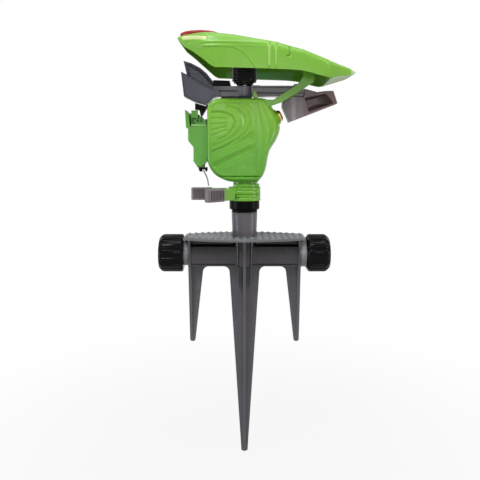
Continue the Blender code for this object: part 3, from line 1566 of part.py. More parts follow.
# Assembly
def make_sprinkler():
    for old in list(bpy.data.objects):
        bpy.data.objects.remove(old)
    grey = plastic("grey moulding", (0.105, 0.105, 0.115), 0.45)
    arm_grey = plastic("arm grey", (0.105, 0.10, 0.125), 0.4)
    green = plastic("green moulding", (0.20, 0.47, 0.055), 0.35)
    black = plastic("black moulding", (0.012, 0.012, 0.013), 0.35)
    rubber = plastic("black rubber", (0.02, 0.02, 0.02), 0.7)
    red = plastic("red moulding", (0.45, 0.06, 0.045), 0.35)
    nylon = plastic("white nylon", (0.7, 0.7, 0.68), 0.5)
    brass = plastic("brass", (0.65, 0.48, 0.16), 0.25, 1.0)
    steel = plastic("steel", (0.45, 0.45, 0.46), 0.3, 1.0)

    base = [make_spike_base(grey), make_step_plate(grey), make_bearing_nut(black), make_hose_washer(rubber)]
    swivel = [make_swivel_nut(black)]
    cap = [make_end_cap(black), make_cap_washer(rubber)]
    upper = [
        make_collar("upper_trip_collar", UPPER_COLLAR_Z, UPPER_TAB_ANGLE, green),
        make_tab("upper_collar_tab", UPPER_TAB_ANGLE, grey),
    ]
    lower = [
        make_collar("lower_trip_collar", LOWER_COLLAR_Z, LOWER_TAB_ANGLE, green),
        make_tab("lower_collar_tab", LOWER_TAB_ANGLE, grey),
    ]
    head = [
        make_stem(brass),
        make_thrust_washer(nylon),
        make_body(green),
        make_cover("front_cover", -1, green),
        make_cover("rear_cover", 1, green),
        make_nozzle(brass),
        make_bridge(green),
        make_pivot_pin(steel),
        make_arm_washer(black),
        make_spring(black),
        make_hood(green),
        make_insert(red),
        make_trip_housing(green),
        make_trip_pin(steel),
        make_trip_spring(steel),
    ]
    for index, (x, z) in enumerate(COVER_SCREWS):
        name, place = f"cover_screw_{index + 1}", (x, z + HEAD_Z)
        head.append(make_screw(name, COVER_HALF, cover_screw_end(), "Y", place, steel))
    head.append(
        make_screw("bridge_screw", BRIDGE_SCREW_SEAT, bridge_screw_end(), "Y",
                   (BRIDGE_SCREW[0], BRIDGE_SCREW[1] + HEAD_Z), steel)
    )
    for name, place in zip(("rear_hood_screw", "front_hood_screw"), HOOD_POSTS):
        head.append(make_screw(name, BRIDGE_BAR_Z, BRIDGE_BAR_Z + SCREW_LENGTH, "Z", place, steel))
    arm = [
        make_arm(arm_grey),
        make_spoon(arm_grey),
        make_arm_bumper(rubber),
        make_screw("spoon_screw", HUB_TOP, ARM_Z - SPOON_SCREW_DEPTH, "Z", SPOON_SCREW, steel),
    ]
    lever = [make_trip_lever(green), make_pawl(black), make_wire_clip(black), make_wire_pin(steel)]
    wire = [make_trip_wire(steel)]
    trip_pivot = (TRIP_WAIST, 0.0, HEAD_Z + TRIP_PIN_HEIGHT)
    finish_pieces(
        [
            ((0, 0, 0), "base_pivot", base),
            ((-FRAME_HALF, 0, TUBE_Z), "swivel_pivot", swivel),
            ((FRAME_HALF, 0, TUBE_Z), "cap_pivot", cap),
            ((0, 0, UPPER_COLLAR_Z), "upper_collar_pivot", upper),
            ((0, 0, LOWER_COLLAR_Z), "lower_collar_pivot", lower),
            ((0, 0, HEAD_Z), "head_pivot", head),
            ((0, 0, ARM_Z), "arm_pivot", arm),
            (trip_pivot, "trip_pivot", lever),
            ((WIRE_PIN[0], 0, HEAD_Z + WIRE_PIN[1]), "wire_pivot", wire),
        ]
    )


make_sprinkler()
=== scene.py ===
import json
import math

import bmesh
import bpy
import numpy as np
from mathutils import Matrix, Vector
from mathutils.bvhtree import BVHTree


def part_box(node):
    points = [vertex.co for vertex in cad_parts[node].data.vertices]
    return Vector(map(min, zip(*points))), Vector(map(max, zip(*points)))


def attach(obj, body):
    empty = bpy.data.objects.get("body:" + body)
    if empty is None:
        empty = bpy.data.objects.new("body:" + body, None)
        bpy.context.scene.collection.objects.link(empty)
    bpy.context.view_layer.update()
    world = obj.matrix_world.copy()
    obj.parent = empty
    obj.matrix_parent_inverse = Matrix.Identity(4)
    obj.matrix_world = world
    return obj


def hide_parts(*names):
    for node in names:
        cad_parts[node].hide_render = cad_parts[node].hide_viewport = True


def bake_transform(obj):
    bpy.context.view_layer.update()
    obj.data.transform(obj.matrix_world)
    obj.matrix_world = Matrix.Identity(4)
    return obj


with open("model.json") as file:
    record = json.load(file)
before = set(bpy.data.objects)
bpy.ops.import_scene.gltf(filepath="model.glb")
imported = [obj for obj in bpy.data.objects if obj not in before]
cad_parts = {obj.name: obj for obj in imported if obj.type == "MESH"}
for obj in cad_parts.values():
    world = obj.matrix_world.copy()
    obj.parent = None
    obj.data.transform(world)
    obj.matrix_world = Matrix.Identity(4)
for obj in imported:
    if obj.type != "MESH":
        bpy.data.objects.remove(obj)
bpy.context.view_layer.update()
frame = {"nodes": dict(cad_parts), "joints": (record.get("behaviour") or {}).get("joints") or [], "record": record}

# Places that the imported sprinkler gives
bodies = frame["record"]["behaviour"]["bodies"]
body_of = {node: body for body, nodes in bodies.items() for node in nodes}
pivots = {joint["name"]: joint.get("pos_m") for joint in frame["joints"]}
HEAD_Z = pivots["head_turn"][2]
ARM_Z = pivots["arm_swing"][2]
TUBE_Z = pivots["inlet_nut_spin"][2]


# Finishes
class Value:
    """A number that varies over a surface. Arithmetic on it adds Math nodes."""

    def __init__(self, finish, socket):
        self.finish = finish
        self.socket = socket

    def __add__(self, other):
        return self.finish.maths("ADD", self, other)

    def __sub__(self, other):
        return self.finish.maths("SUBTRACT", self, other)

    def __rsub__(self, other):
        return self.finish.maths("SUBTRACT", other, self)

    def __mul__(self, other):
        return self.finish.maths("MULTIPLY", self, other)

    __radd__ = __add__
    __rmul__ = __mul__


class Nodes:
    """A tree of nodes, with one way to add to it."""

    def __init__(self, tree):
        self.nodes = tree.nodes
        self.links = tree.links

    def node(self, kind, settings=(), sockets=()):
        made = self.nodes.new(kind)
        for name, value in dict(settings).items():
            setattr(made, name, value)
        for name, value in dict(sockets).items():
            self.feed(made.inputs[name], value)
        return made

    def feed(self, socket, value):
        if isinstance(value, Value):
            value = value.socket
        if isinstance(value, bpy.types.NodeSocket):
            self.links.new(value, socket)
        else:
            socket.default_value = value

    def maths(self, operation, *numbers):
        made = self.node("ShaderNodeMath", {"operation": operation}, enumerate(numbers))
        return Value(self, made.outputs[0])

    def seen_by(self, **shares):
        """How much of a surface each kind of ray sees, such as Camera=1."""
        path = self.node("ShaderNodeLightPath")
        seen = [Value(self, path.outputs[f"Is {kind} Ray"]) * share for kind, share in shares.items()]
        return self.maths("MAXIMUM", self.maths("MAXIMUM", *seen[:2]), seen[2])


class Finish(Nodes):
    """A procedural finish. Its patterns lie in the sprinkler's own frame, in metres."""

    def __init__(self, name):
        self.material = bpy.data.materials.new(name)
        self.material.use_nodes = True
        super().__init__(self.material.node_tree)
        self.shader = self.nodes["Principled BSDF"]
        self.place = self.node("ShaderNodeTexCoord").outputs["Object"]

    def stretched(self, *factors):
        made = self.node("ShaderNodeVectorMath", {"operation": "MULTIPLY"}, {0: self.place, 1: factors})
        return made.outputs[0]

    def along(self):
        """The place's X, Y and Z."""
        made = self.node("ShaderNodeSeparateXYZ", sockets={0: self.place})
        return [Value(self, socket) for socket in made.outputs]

    def grain(self, scale, detail=2.0, roughness=0.5, place=None):
        sockets = {"Vector": place or self.place, "Scale": scale, "Detail": detail, "Roughness": roughness}
        return Value(self, self.node("ShaderNodeTexNoise", sockets=sockets).outputs[0])

    def step(self, value, low, high):
        """Rises smoothly from 0 to 1 as the value goes from low to high."""
        sockets = {"Value": value, "From Min": low, "From Max": high}
        made = self.node("ShaderNodeMapRange", {"interpolation_type": "SMOOTHSTEP"}, sockets)
        return Value(self, made.outputs["Result"])

    def fall(self, value, low, high):
        return 1 - self.step(value, low, high)

    def band(self, value, start, full, fade, end):
        """1 from full to fade, and 0 before start and after end."""
        return self.step(value, start, full) * self.fall(value, fade, end)

    def size(self, value):
        return self.maths("ABSOLUTE", value)

    def blend(self, share, low, high):
        """One colour going over into another."""
        made = self.node("ShaderNodeMix", {"data_type": "RGBA"}, {0: share, 6: low, 7: high})
        return made.outputs[2]

    def bump(self, height, distance):
        made = self.node("ShaderNodeBump", sockets={"Height": height, "Distance": distance, "Strength": 1.0})
        self.feed(self.shader.inputs["Normal"], made.outputs["Normal"])

    def surface(self, **sockets):
        for name, value in sockets.items():
            self.feed(self.shader.inputs[name.replace("_", " ").title().replace("Ior", "IOR")], value)


def colour(red, green, blue):
    """A colour as it looks on a screen, 0 to 255, for a shader."""
    shares = [channel / 255 for channel in (red, green, blue)]
    return (*[s / 12.92 if s <= 0.04045 else ((s + 0.055) / 1.055) ** 2.4 for s in shares], 1.0)


def shaded(base, gain):
    return (*[min(1.0, channel * gain) for channel in base[:3]], 1.0)


def moulding(name, base, roughness, pale, tint=0.07, eroded=0.000006, dust=0.10, gloss=0.34, marks=None):
    """Moulded plastic: flow shades, eroded grain, slight sinks, rubbed spots and a trace of dust."""
    finish, base = Finish(name), colour(*base)
    flow = finish.grain(42.0, 3.0, 0.55, finish.stretched(1.0, 1.0, 0.45))
    cloud = finish.grain(11.0, 2.0)
    fine = finish.grain(2400.0, 2.0, 0.6)
    rubbed = finish.step(finish.grain(170.0, 4.0, 0.65), 0.54, 0.74)
    sink = finish.grain(70.0, 1.0)
    shade = finish.step(flow * 0.7 + cloud * 0.3, 0.36, 0.64)
    tone = finish.blend(shade, shaded(base, 1 - tint), shaded(base, 1 + tint))
    for share, marked in marks(finish) if marks else ():
        tone = finish.blend(share, tone, colour(*marked))
    finish.surface(
        base_color=finish.blend(rubbed * dust, tone, colour(*pale)),
        roughness=roughness + (fine - 0.5) * 0.10 + rubbed * 0.10 - shade * 0.04,
        specular_ior_level=gloss,
    )
    finish.bump(fine + sink * 5.0 + rubbed * 0.6, eroded)
    return finish


def metal(name, base, roughness, tarnish, tool_lines=30.0):
    """Bare metal with fine tool lines and darker, duller patches."""
    finish, base = Finish(name), colour(*base)
    lines = finish.grain(420.0, 3.0, 0.6, finish.stretched(1.0, 1.0, tool_lines))
    patch = finish.step(finish.grain(130.0, 4.0, 0.6), 0.45, 0.75)
    tone = finish.blend(lines, shaded(base, 0.86), shaded(base, 1.1))
    finish.surface(
        base_color=finish.blend(patch * 0.5, tone, tarnish),
        metallic=1.0,
        roughness=roughness + (lines - 0.5) * 0.16 + patch * 0.14,
    )
    finish.bump(lines, 0.000012)
    return finish


# The tail panel, sunk a little and painted paler as a highlight: left and right end, middle height at the left
# end, slope and half height
TAIL_PANEL = (-0.0582, -0.0343, 0.1390, 0.1875, 0.0017)
SKIRT_INSIDE = (0.0342, 0.0346)      # the hood's sides are thinner than this at their inner face


# Each of these gives the painted light and shade of a finish, as (share, colour)
def hood_marks(finish):
    """Painted light: a highlight on the tail panel, a paler reflection on the skirts' inner faces and highlights
    on the crests of the two upright ridges.
    """
    x, y, z = finish.along()
    height, across = z - HEAD_Z, finish.size(y)
    left, right, middle, slope, half = TAIL_PANEL
    level = finish.size(height - middle + (x - left) * slope)
    # The tail panel's paler colour is a painted highlight.
    tail_highlight = finish.band(x, left - 0.0006, left + 0.0004, right - 0.0004, right + 0.0012)
    tail_highlight = tail_highlight * finish.fall(level, half - 0.0003, half + 0.0005)
    # The skirts' inner faces are painted paler and bluer, a painted reflection.
    inner_reflection = finish.fall(across, *SKIRT_INSIDE) * finish.fall(height, 0.1120, 0.1150)
    inner_reflection = inner_reflection * finish.band(x, -0.0200, -0.0160, 0.0460, 0.0520)
    marks = [(tail_highlight * 0.85, (224, 232, 168)), (inner_reflection, (148, 206, 140))]
    # Painted highlights along the crests of the two upright ridges.
    for place, top, width in ((0.0218, 0.1300, 0.0009), (0.0278, 0.1286, 0.0006)):
        crest = finish.fall(finish.size(x - place), width * 0.5, width * 1.4)
        upright = finish.band(height, 0.1080, 0.1110, top - 0.0006, top + 0.0006)
        marks.append((crest * upright * finish.step(across, 0.0343, 0.0348) * 0.50, (192, 226, 142)))
    return marks


def arm_marks(finish):
    """A paler, warmer bar and hub as painted light, and a painted shadow line that the near blade's edge casts
    behind it.
    """
    x, y, z = finish.along()
    # A painted shadow line on the faces just behind the near blade's top edge.
    edge = z - ARM_Z - 0.0081 + finish.maths("MINIMUM", x + 0.0300, 0.0) * 0.57
    line = finish.fall(finish.size(edge), 0.0006, 0.0013)
    line = line * finish.step(y, -0.0036, -0.0026) * finish.fall(x, -0.0250, -0.0220)
    # The bar and hub are painted paler and warmer: painted light and a painted highlight.
    hub = finish.fall(finish.size(x), 0.0066, 0.0075)
    bar = finish.step(x, -0.0300, -0.0160)
    return [(bar, (122, 117, 124)), (hub * 0.8, (140, 132, 148)), (line, (14, 14, 19))]


def spoon_marks(finish):
    """The paddle's upright ridge carries a painted highlight and its pocket is painted darker and browner as
    shade.
    """
    x, y, z = finish.along()
    # A painted highlight on the upright ridge.
    ridge = finish.band(x, 0.0425, 0.0455, 0.0472, 0.0482)
    # The pocket is painted darker and browner, as painted shade in the recess.
    pocket = finish.band(y, -0.0100, -0.0085, 0.0030, 0.0050) * finish.step(x, 0.0540, 0.0560)
    return [(ridge * 0.60, (178, 166, 168)), (pocket * 0.70, (112, 84, 82))]


def cover_marks(finish):
    """The half shells are painted paler towards the top as painted light, and a painted highlight follows the
    crescent's turn.
    """
    x, y, z = finish.along()
    height = z - HEAD_Z
    across, up = x + 0.0143, height - 0.0611
    away = finish.maths("SQRT", across * across + up * up)
    # A painted highlight on the crescent's turn.
    turn = finish.fall(finish.size(away - 0.0131), 0.0004, 0.0012) * finish.step(x, -0.0105, -0.0055)
    turn = turn * finish.fall(finish.size(height - 0.0625), 0.0030, 0.0062)
    # The paler top is painted light.
    return [(finish.step(height, 0.0180, 0.0800), (132, 192, 60)), (turn * 0.50, (204, 232, 168))]


def housing_marks(finish):
    """A painted highlight along the near top edge of the lever's housing."""
    x, y, z = finish.along()
    # A painted highlight on the near rim.
    rim = finish.band(z - HEAD_Z, 0.0566, 0.0572, 0.0590, 0.0594)
    return [(rim * finish.fall(y, -0.0098, -0.0094) * 0.7, (164, 210, 120))]


def base_marks(finish):
    """Painted shade on the beam, darkest as a painted shadow under the foot plate, and painted highlights on the
    necks beside the couplings.
    """
    x, y, z = finish.along()
    across, depth = finish.size(x), finish.size(y)
    # Painted shade on the beam and on the faces under the foot plate, darkest just under it.
    under_plate_shade = finish.fall(across, 0.0500, 0.0512) * finish.band(z, 0.1740, 0.1762, 0.1994, 0.2004)
    under_plate_shade = under_plate_shade * finish.fall(depth, 0.0112, 0.0120)
    # The necks are painted paler as a highlight.
    neck_highlight = finish.step(across, 0.0530, 0.0535) * finish.step(z, 0.1740, 0.1750)
    shade = under_plate_shade * finish.step(z, 0.1840, 0.1935)
    return [(neck_highlight * 0.8, (150, 153, 155)), (under_plate_shade * 0.85, (70, 66, 69)), (shade, (20, 18, 19))]


# Name, colour, roughness and the paler colour of rubbed spots
green = moulding("green_moulding", (110, 174, 50), 0.33, (168, 208, 120), tint=0.05)
cover_green = moulding(
    "cover_green_moulding", (98, 166, 50), 0.30, (168, 208, 120), tint=0.05, marks=cover_marks
)
hood_green = moulding(
    "hood_green_moulding", (122, 180, 58), 0.33, (180, 216, 130), tint=0.05, marks=hood_marks
)
# The bridge's green is paler than the other green parts: painted light for the shade under the hood.
bridge_lit_green = moulding("bridge_green_moulding", (124, 184, 66), 0.33, (176, 214, 130), tint=0.05)
clear_green = moulding("trip_green_moulding", (94, 162, 60), 0.35, (160, 205, 120))
housing_green = moulding("housing_green_moulding", (94, 162, 60), 0.35, (160, 205, 120), marks=housing_marks)
grey = moulding("grey_moulding", (96, 93, 98), 0.31, (146, 145, 150), tint=0.08, marks=base_marks)
plate_grey = moulding("plate_grey_moulding", (103, 104, 107), 0.42, (158, 158, 160), tint=0.09)
arm_grey = moulding("arm_grey_moulding", (62, 62, 76), 0.30, (112, 112, 124), marks=arm_marks)
spoon_grey = moulding("spoon_grey_moulding", (126, 113, 117), 0.32, (160, 150, 154), marks=spoon_marks)
tab_grey = moulding("tab_grey_moulding", (120, 111, 114), 0.42, (158, 152, 154))
black = moulding("black_moulding", (9, 9, 11), 0.16, (40, 42, 46), tint=0.10, dust=0.05, gloss=0.08)
bearing_black = moulding(
    "bearing_black_moulding", (8, 7, 6), 0.34, (36, 32, 32), tint=0.10, dust=0.05, gloss=0.05
)
coil_black = moulding(
    "black_coated_wire", (14, 13, 13), 0.30, (58, 52, 50), tint=0.10, dust=0.14, gloss=0.22
)
rubber = moulding("black_rubber", (20, 20, 21), 0.72, (60, 58, 57), tint=0.12, eroded=0.000012, gloss=0.14)
red = moulding("red_moulding", (158, 42, 34), 0.30, (190, 80, 68), tint=0.06)
nylon = moulding("white_nylon", (226, 225, 220), 0.45, (240, 240, 238), tint=0.03)
brass = metal("turned_brass", (214, 180, 96), 0.22, colour(150, 112, 60))
steel = metal("bright_steel", (196, 197, 200), 0.26, shaded(colour(196, 197, 200), 0.55))
wire_steel = metal("spring_steel", (170, 170, 174), 0.24, shaded(colour(170, 170, 174), 0.55), 8.0)


# Making shapes
def dress(piece, name, finish, body, stands_for=(), sharp=35.0):
    """Name a piece, smooth it between its sharp edges, finish it and hang it on its body."""
    piece.name = name
    piece.data.name = name
    piece.data.shade_smooth()
    piece.data.set_sharp_from_angle(angle=math.radians(sharp))
    piece.data.materials.clear()
    piece.data.materials.append(finish.material)
    if body:
        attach(piece, body)
    if stands_for:
        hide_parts(*stands_for)
    return piece


def made_object(points, faces):
    mesh = bpy.data.meshes.new("part")
    mesh.from_pydata([tuple(point) for point in points], [], faces)
    shape = bmesh.new()
    shape.from_mesh(mesh)
    bmesh.ops.recalc_face_normals(shape, faces=shape.faces)
    shape.to_mesh(mesh)
    shape.free()
    made = bpy.data.objects.new("part", mesh)
    bpy.context.scene.collection.objects.link(made)
    return made


def baked(piece):
    """Turn a piece's modifiers into plain mesh."""
    graph = bpy.context.evaluated_depsgraph_get()
    graph.update()
    mesh = bpy.data.meshes.new_from_object(piece.evaluated_get(graph))
    piece.modifiers.clear()
    piece.data = mesh
    return piece


def joined(operation, piece, *others):
    """Closed parts added to a piece or cut from it."""
    for other in others:
        modifier = piece.modifiers.new("joined", "BOOLEAN")
        modifier.operation = operation
        modifier.solver = "EXACT"
        modifier.object = other
    baked(piece)
    for other in others:
        bpy.data.objects.remove(other)
    return piece


def even_shading(piece):
    """Keep flats flat to the eye where rounded edges meet them."""
    piece.modifiers.new("even shading", "WEIGHTED_NORMAL").keep_sharp = True
    return piece


def circle(radius, sides):
    turns = [2 * math.pi * index / sides for index in range(sides)]
    return [(radius * math.cos(turn), radius * math.sin(turn)) for turn in turns]


class Shape:
    """Points and faces that several skins are gathered in."""

    def __init__(self):
        self.points = []
        self.faces = []

    def skin(self, rings, ends=True):
        """Faces between closed rings of points, and over the first and the last ring."""
        base = len(self.points)
        size = len(rings[0])
        for ring in rings:
            self.points.extend(tuple(point) for point in ring)
        for row in range(len(rings) - 1):
            for column in range(size):
                after = (column + 1) % size
                low, high = base + row * size, base + (row + 1) * size
                self.faces.append((low + column, low + after, high + after, high + column))
        if ends:
            self.faces.append(tuple(range(base, base + size)))
            self.faces.append(tuple(range(base + (len(rings) - 1) * size, base + len(rings) * size)))
        return self

    def prism(self, outline, near, far, plane="XZ"):
        put = {
            "XZ": lambda a, b, c: (a, c, b), "YZ": lambda a, b, c: (c, a, b), "XY": lambda a, b, c: (a, b, c)
        }[plane]
        return self.skin([[put(a, b, depth) for a, b in outline] for depth in (near, far)])

    def turned(self, profile, axis="Z", centre=(0.0, 0.0), sides=96):
        """A body of revolution from (radius, height along the axis) points."""
        put = {
            "Z": lambda a, b, c: (centre[0] + a, centre[1] + b, c),
            "X": lambda a, b, c: (c, centre[0] + a, centre[1] + b),
            "Y": lambda a, b, c: (centre[0] + a, c, centre[1] + b),
        }[axis]
        rings = [[put(a, b, height) for a, b in circle(radius, sides)] for radius, height in profile]
        return self.skin(rings)

    def moved(self, matrix):
        self.points = [tuple(matrix @ Vector(point)) for point in self.points]
        return self

    def solid(self, edge=0.0, segments=2):
        """The shape as an object of its own, with rounded edges, to be joined to others."""
        made = made_object(self.points, self.faces)
        return baked(round_edges(made, edge, segments)) if edge else made

    def piece(self, name, finish, body, slot, stands_for=(), sharp=35.0):
        return dress(made_object(self.points, self.faces), name, finish, body, stands_for, sharp)


def raised(points, height):
    return [(point[0], point[1] + height, *point[2:]) for point in points]


def mirrored(half):
    """The left half of an outline, (y, z) upwards, and the right half after it."""
    return half + [(-y, z) for y, z in reversed(half)]


def block(outline, near, far, base=HEAD_Z, edge=0.0, segments=2):
    """A slab from one depth to another. Its outline's heights count from base."""
    return Shape().prism(raised(outline, base), near, far).solid(edge, segments)


def round_edges(piece, width, segments=2, angle=32.0):
    bevel = piece.modifiers.new("rounded edges", "BEVEL")
    bevel.width = width
    bevel.segments = segments
    bevel.limit_method = "ANGLE"
    bevel.angle_limit = math.radians(angle)
    bevel.use_clamp_overlap = False
    return piece


def softened_solid(node, width=0.0):
    """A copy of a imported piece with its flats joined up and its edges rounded."""
    weld, level = 0.00004, math.radians(1.0)
    shape = bmesh.new()
    shape.from_mesh(frame["nodes"][node].data)
    bmesh.ops.remove_doubles(shape, verts=shape.verts, dist=weld)
    bmesh.ops.dissolve_limit(
        shape, angle_limit=level, verts=shape.verts, edges=shape.edges, use_dissolve_boundaries=False
    )
    shape.verts.index_update()
    points = [tuple(vert.co) for vert in shape.verts]
    faces = [tuple(vert.index for vert in face.verts) for face in shape.faces]
    shape.free()
    made = made_object(points, faces)
    return baked(round_edges(made, width)) if width else made


def drawn_back(made, node, reach):
    """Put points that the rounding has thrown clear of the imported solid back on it."""
    solid = frame["nodes"][node].data
    packed = BVHTree.FromPolygons(
        [vertex.co for vertex in solid.vertices], [tuple(face.vertices) for face in solid.polygons]
    )
    for vertex in made.data.vertices:
        nearest, normal, index, distance = packed.find_nearest(vertex.co)
        if distance > reach and (vertex.co - nearest).dot(normal) > 0:
            vertex.co = nearest
    return made


def softened(node, width, finish):
    made = drawn_back(softened_solid(node, width), node, width)
    return even_shading(dress(made, f"{node}_soft", finish, body_of[node], (node,), 40.0))


def eased(table, x):
    """Values at x, smoothly through a table's rows, each of which starts with its x."""
    last = len(table) - 1
    index = 0
    while index < last - 1 and x > table[index + 1][0]:
        index += 1
    before, low = table[max(0, index - 1)], table[index]
    high, after = table[index + 1], table[min(last, index + 2)]
    width = high[0] - low[0]
    share = limited((x - low[0]) / width)
    square, cubic = share ** 2, share ** 3
    values = []
    for a, b, c, d in zip(before[1:], low[1:], high[1:], after[1:]):
        lead = (c - a) / max(high[0] - before[0], width) * width
        trail = (d - b) / max(after[0] - low[0], width) * width
        values.append(
            (2 * cubic - 3 * square + 1) * b + (cubic - 2 * square + share) * lead
            + (3 * square - 2 * cubic) * c + (cubic - square) * trail
        )
    return values


def arc_corners(corners, steps=6):
    """Points of an outline whose corners are (a, b) or (a, b, radius)."""
    points = []
    for index, corner in enumerate(corners):
        here = Vector(corner[:2])
        radius = corner[2] if len(corner) > 2 else 0.0
        if not radius:
            points.append(tuple(here))
            continue
        before = (Vector(corners[index - 1][:2]) - here).normalized()
        after = (Vector(corners[(index + 1) % len(corners)][:2]) - here).normalized()
        half = before.angle(after) / 2
        centre = here + (before + after).normalized() * radius / math.sin(half)
        start = here + before * radius / math.tan(half) - centre
        turn = math.pi - 2 * half
        side = 1.0 if before.x * after.y - before.y * after.x < 0 else -1.0
        for step in range(steps + 1):
            points.append(tuple(centre + Matrix.Rotation(side * turn * step / steps, 2) @ start))
    return points


def inset(points, distance):
    """An outline moved inwards."""
    area = sum(a[0] * b[1] - b[0] * a[1] for a, b in zip(points, points[1:] + points[:1]))
    if area < 0:
        return inset(points[::-1], distance)[::-1]
    moved = []
    for index, point in enumerate(points):
        here = Vector(point)
        before = (here - Vector(points[index - 1])).normalized()
        after = (Vector(points[(index + 1) % len(points)]) - here).normalized()
        normal = Vector((-(before.y + after.y), before.x + after.x)).normalized()
        mitre = max(0.5, normal.dot(Vector((-before.y, before.x))))
        moved.append(tuple(here + normal * distance / mitre))
    return moved


def off_line(points, line):
    """How far each point is from a polyline, both as rows of two numbers."""
    points = np.asarray(points, float)
    best = np.full(len(points), 1e9)
    for a, b in zip(line, line[1:]):
        a, b = np.asarray(a, float), np.asarray(b, float)
        along = b - a
        share = np.clip(((points - a) @ along) / max(along @ along, 1e-12), 0.0, 1.0)
        best = np.minimum(best, np.linalg.norm(points - a - share[:, None] * along, axis=1))
    return best


def groove(distance, width, depth):
    """A soft-edged groove's depth at a distance from its middle."""
    return -depth * np.exp(-(distance / width) ** 2)


def limited(value):
    return min(1.0, max(0.0, value))


def rise(values, low, high):
    """0 up to low, 1 from high on, and smooth between them."""
    share = np.clip((np.asarray(values) - low) / (high - low), 0.0, 1.0)
    return share * share * (3 - 2 * share)


# Hood
HOOD_STATIONS = (
    # x, half width, lower edge, shoulder and crown above the head's underside
    (-0.0630, 0.0040, 0.1390, 0.1410, 0.1420),
    (-0.0560, 0.0150, 0.1300, 0.1398, 0.1436),
    (-0.0480, 0.0255, 0.1246, 0.1399, 0.1441),
    (-0.0380, 0.0325, 0.1163, 0.1400, 0.1442),
    (-0.0305, 0.0352, 0.1099, 0.1394, 0.1442),
    (-0.0265, 0.0361, 0.1077, 0.1388, 0.1439),
    (-0.0090, 0.0365, 0.1072, 0.1369, 0.1418),
    (0.0085, 0.0365, 0.1067, 0.1339, 0.1386),
    (0.0290, 0.0365, 0.1060, 0.1307, 0.1348),
    (0.0420, 0.0365, 0.1055, 0.1268, 0.1307),
    (0.0530, 0.0363, 0.1044, 0.1240, 0.1278),
    (0.0710, 0.0357, 0.0996, 0.1168, 0.1203),
    (0.0750, 0.0351, 0.0988, 0.1153, 0.1186),
    (0.0785, 0.0330, 0.0991, 0.1140, 0.1169),
    (0.0980, 0.0172, 0.1036, 0.1096, 0.1109),
    (0.1018, 0.0098, 0.1054, 0.1088, 0.1097),
    (0.1050, 0.0024, 0.1074, 0.1081, 0.1085),
)
HOOD_BEND = 0.0010           # its corners are rounded over this length
HOOD_SIDE = ((1.00, 0.00), (0.996, 0.30), (0.985, 0.60), (0.965, 0.80), (0.915, 0.945), (0.875, 1.00))
HOOD_ROOF = ((0.875, 0.00), (0.68, 0.44), (0.45, 0.74), (0.22, 0.93), (0.0, 1.0))
HOOD_WALL = 0.0022
# A hook moulded into both sides, and the ridges: (x, height) points, width and how far they stand out
HOOK = ((0.0402, 0.1262), (0.0402, 0.1182), (0.0394, 0.1174), (0.0382, 0.1174))
HOOD_RELIEF = (
    (HOOK, 0.00080, -0.00120),
    (((0.0218, 0.1085), (0.0218, 0.1306)), 0.0010, 0.00090),
    (((0.0278, 0.1085), (0.0278, 0.1292)), 0.0007, 0.00065),
    (((-0.0416, 0.1274), (-0.0250, 0.1268), (-0.0094, 0.1259), (-0.0020, 0.1222), (0.0030, 0.1172),
      (0.0088, 0.1091)), 0.0008, 0.00040),
    (((-0.0525, 0.1302), (-0.0380, 0.1310), (-0.0100, 0.1304), (0.0195, 0.1290)), 0.0012, 0.00050),
    (((-0.0510, 0.1275), (-0.0395, 0.1280), (-0.0100, 0.1272), (0.0195, 0.1262)), 0.0010, 0.00034),
)
NOSE_FLOOR = (0.0765, 0.0790)        # the nose is closed underneath from here on


def spread(rows, steps):
    """Points spread evenly in number along a smooth curve through the rows."""
    table = [(index, *row) for index, row in enumerate(rows)]
    last = len(rows) - 1
    return [eased(table, last * step / steps) for step in range(steps + 1)]


def mitred(table, x, reach=HOOD_BEND):
    """Values at x on straight lines through a table's rows, with rounded corners."""
    columns = list(zip(*table))
    reach = min(reach, x - columns[0][0], columns[0][-1] - x)
    places = [x + reach * share for share in (-1.0, -0.66, -0.33, 0.0, 0.33, 0.66, 1.0)]
    return [float(np.mean(np.interp(places, columns[0], column))) for column in columns[1:]]


def hood_at(x):
    """Half width, which changes gently towards the tail, then the lower edge, shoulder and crown."""
    half = mitred(HOOD_STATIONS, x, 0.0110 if x < 0.03 else HOOD_BEND)[0]
    return [half, *mitred(HOOD_STATIONS, x)[1:]]


def hood_section(x, wall=0.0, side_steps=84, roof_steps=22):
    """One cross-section, from the far lower edge over the crown to the near one."""
    half, edge, shoulder, crown = hood_at(x)
    half, shoulder, crown = half - wall, shoulder - wall, crown - wall
    rows = [(half * across, edge + (shoulder - edge) * up) for across, up in spread(HOOD_SIDE, side_steps)]
    roof = spread(HOOD_ROOF, roof_steps)[1:]
    rows += [(half * across, shoulder + (crown - shoulder) * up) for across, up in roof]
    return rows + [(-y, z) for y, z in rows[-2::-1]]


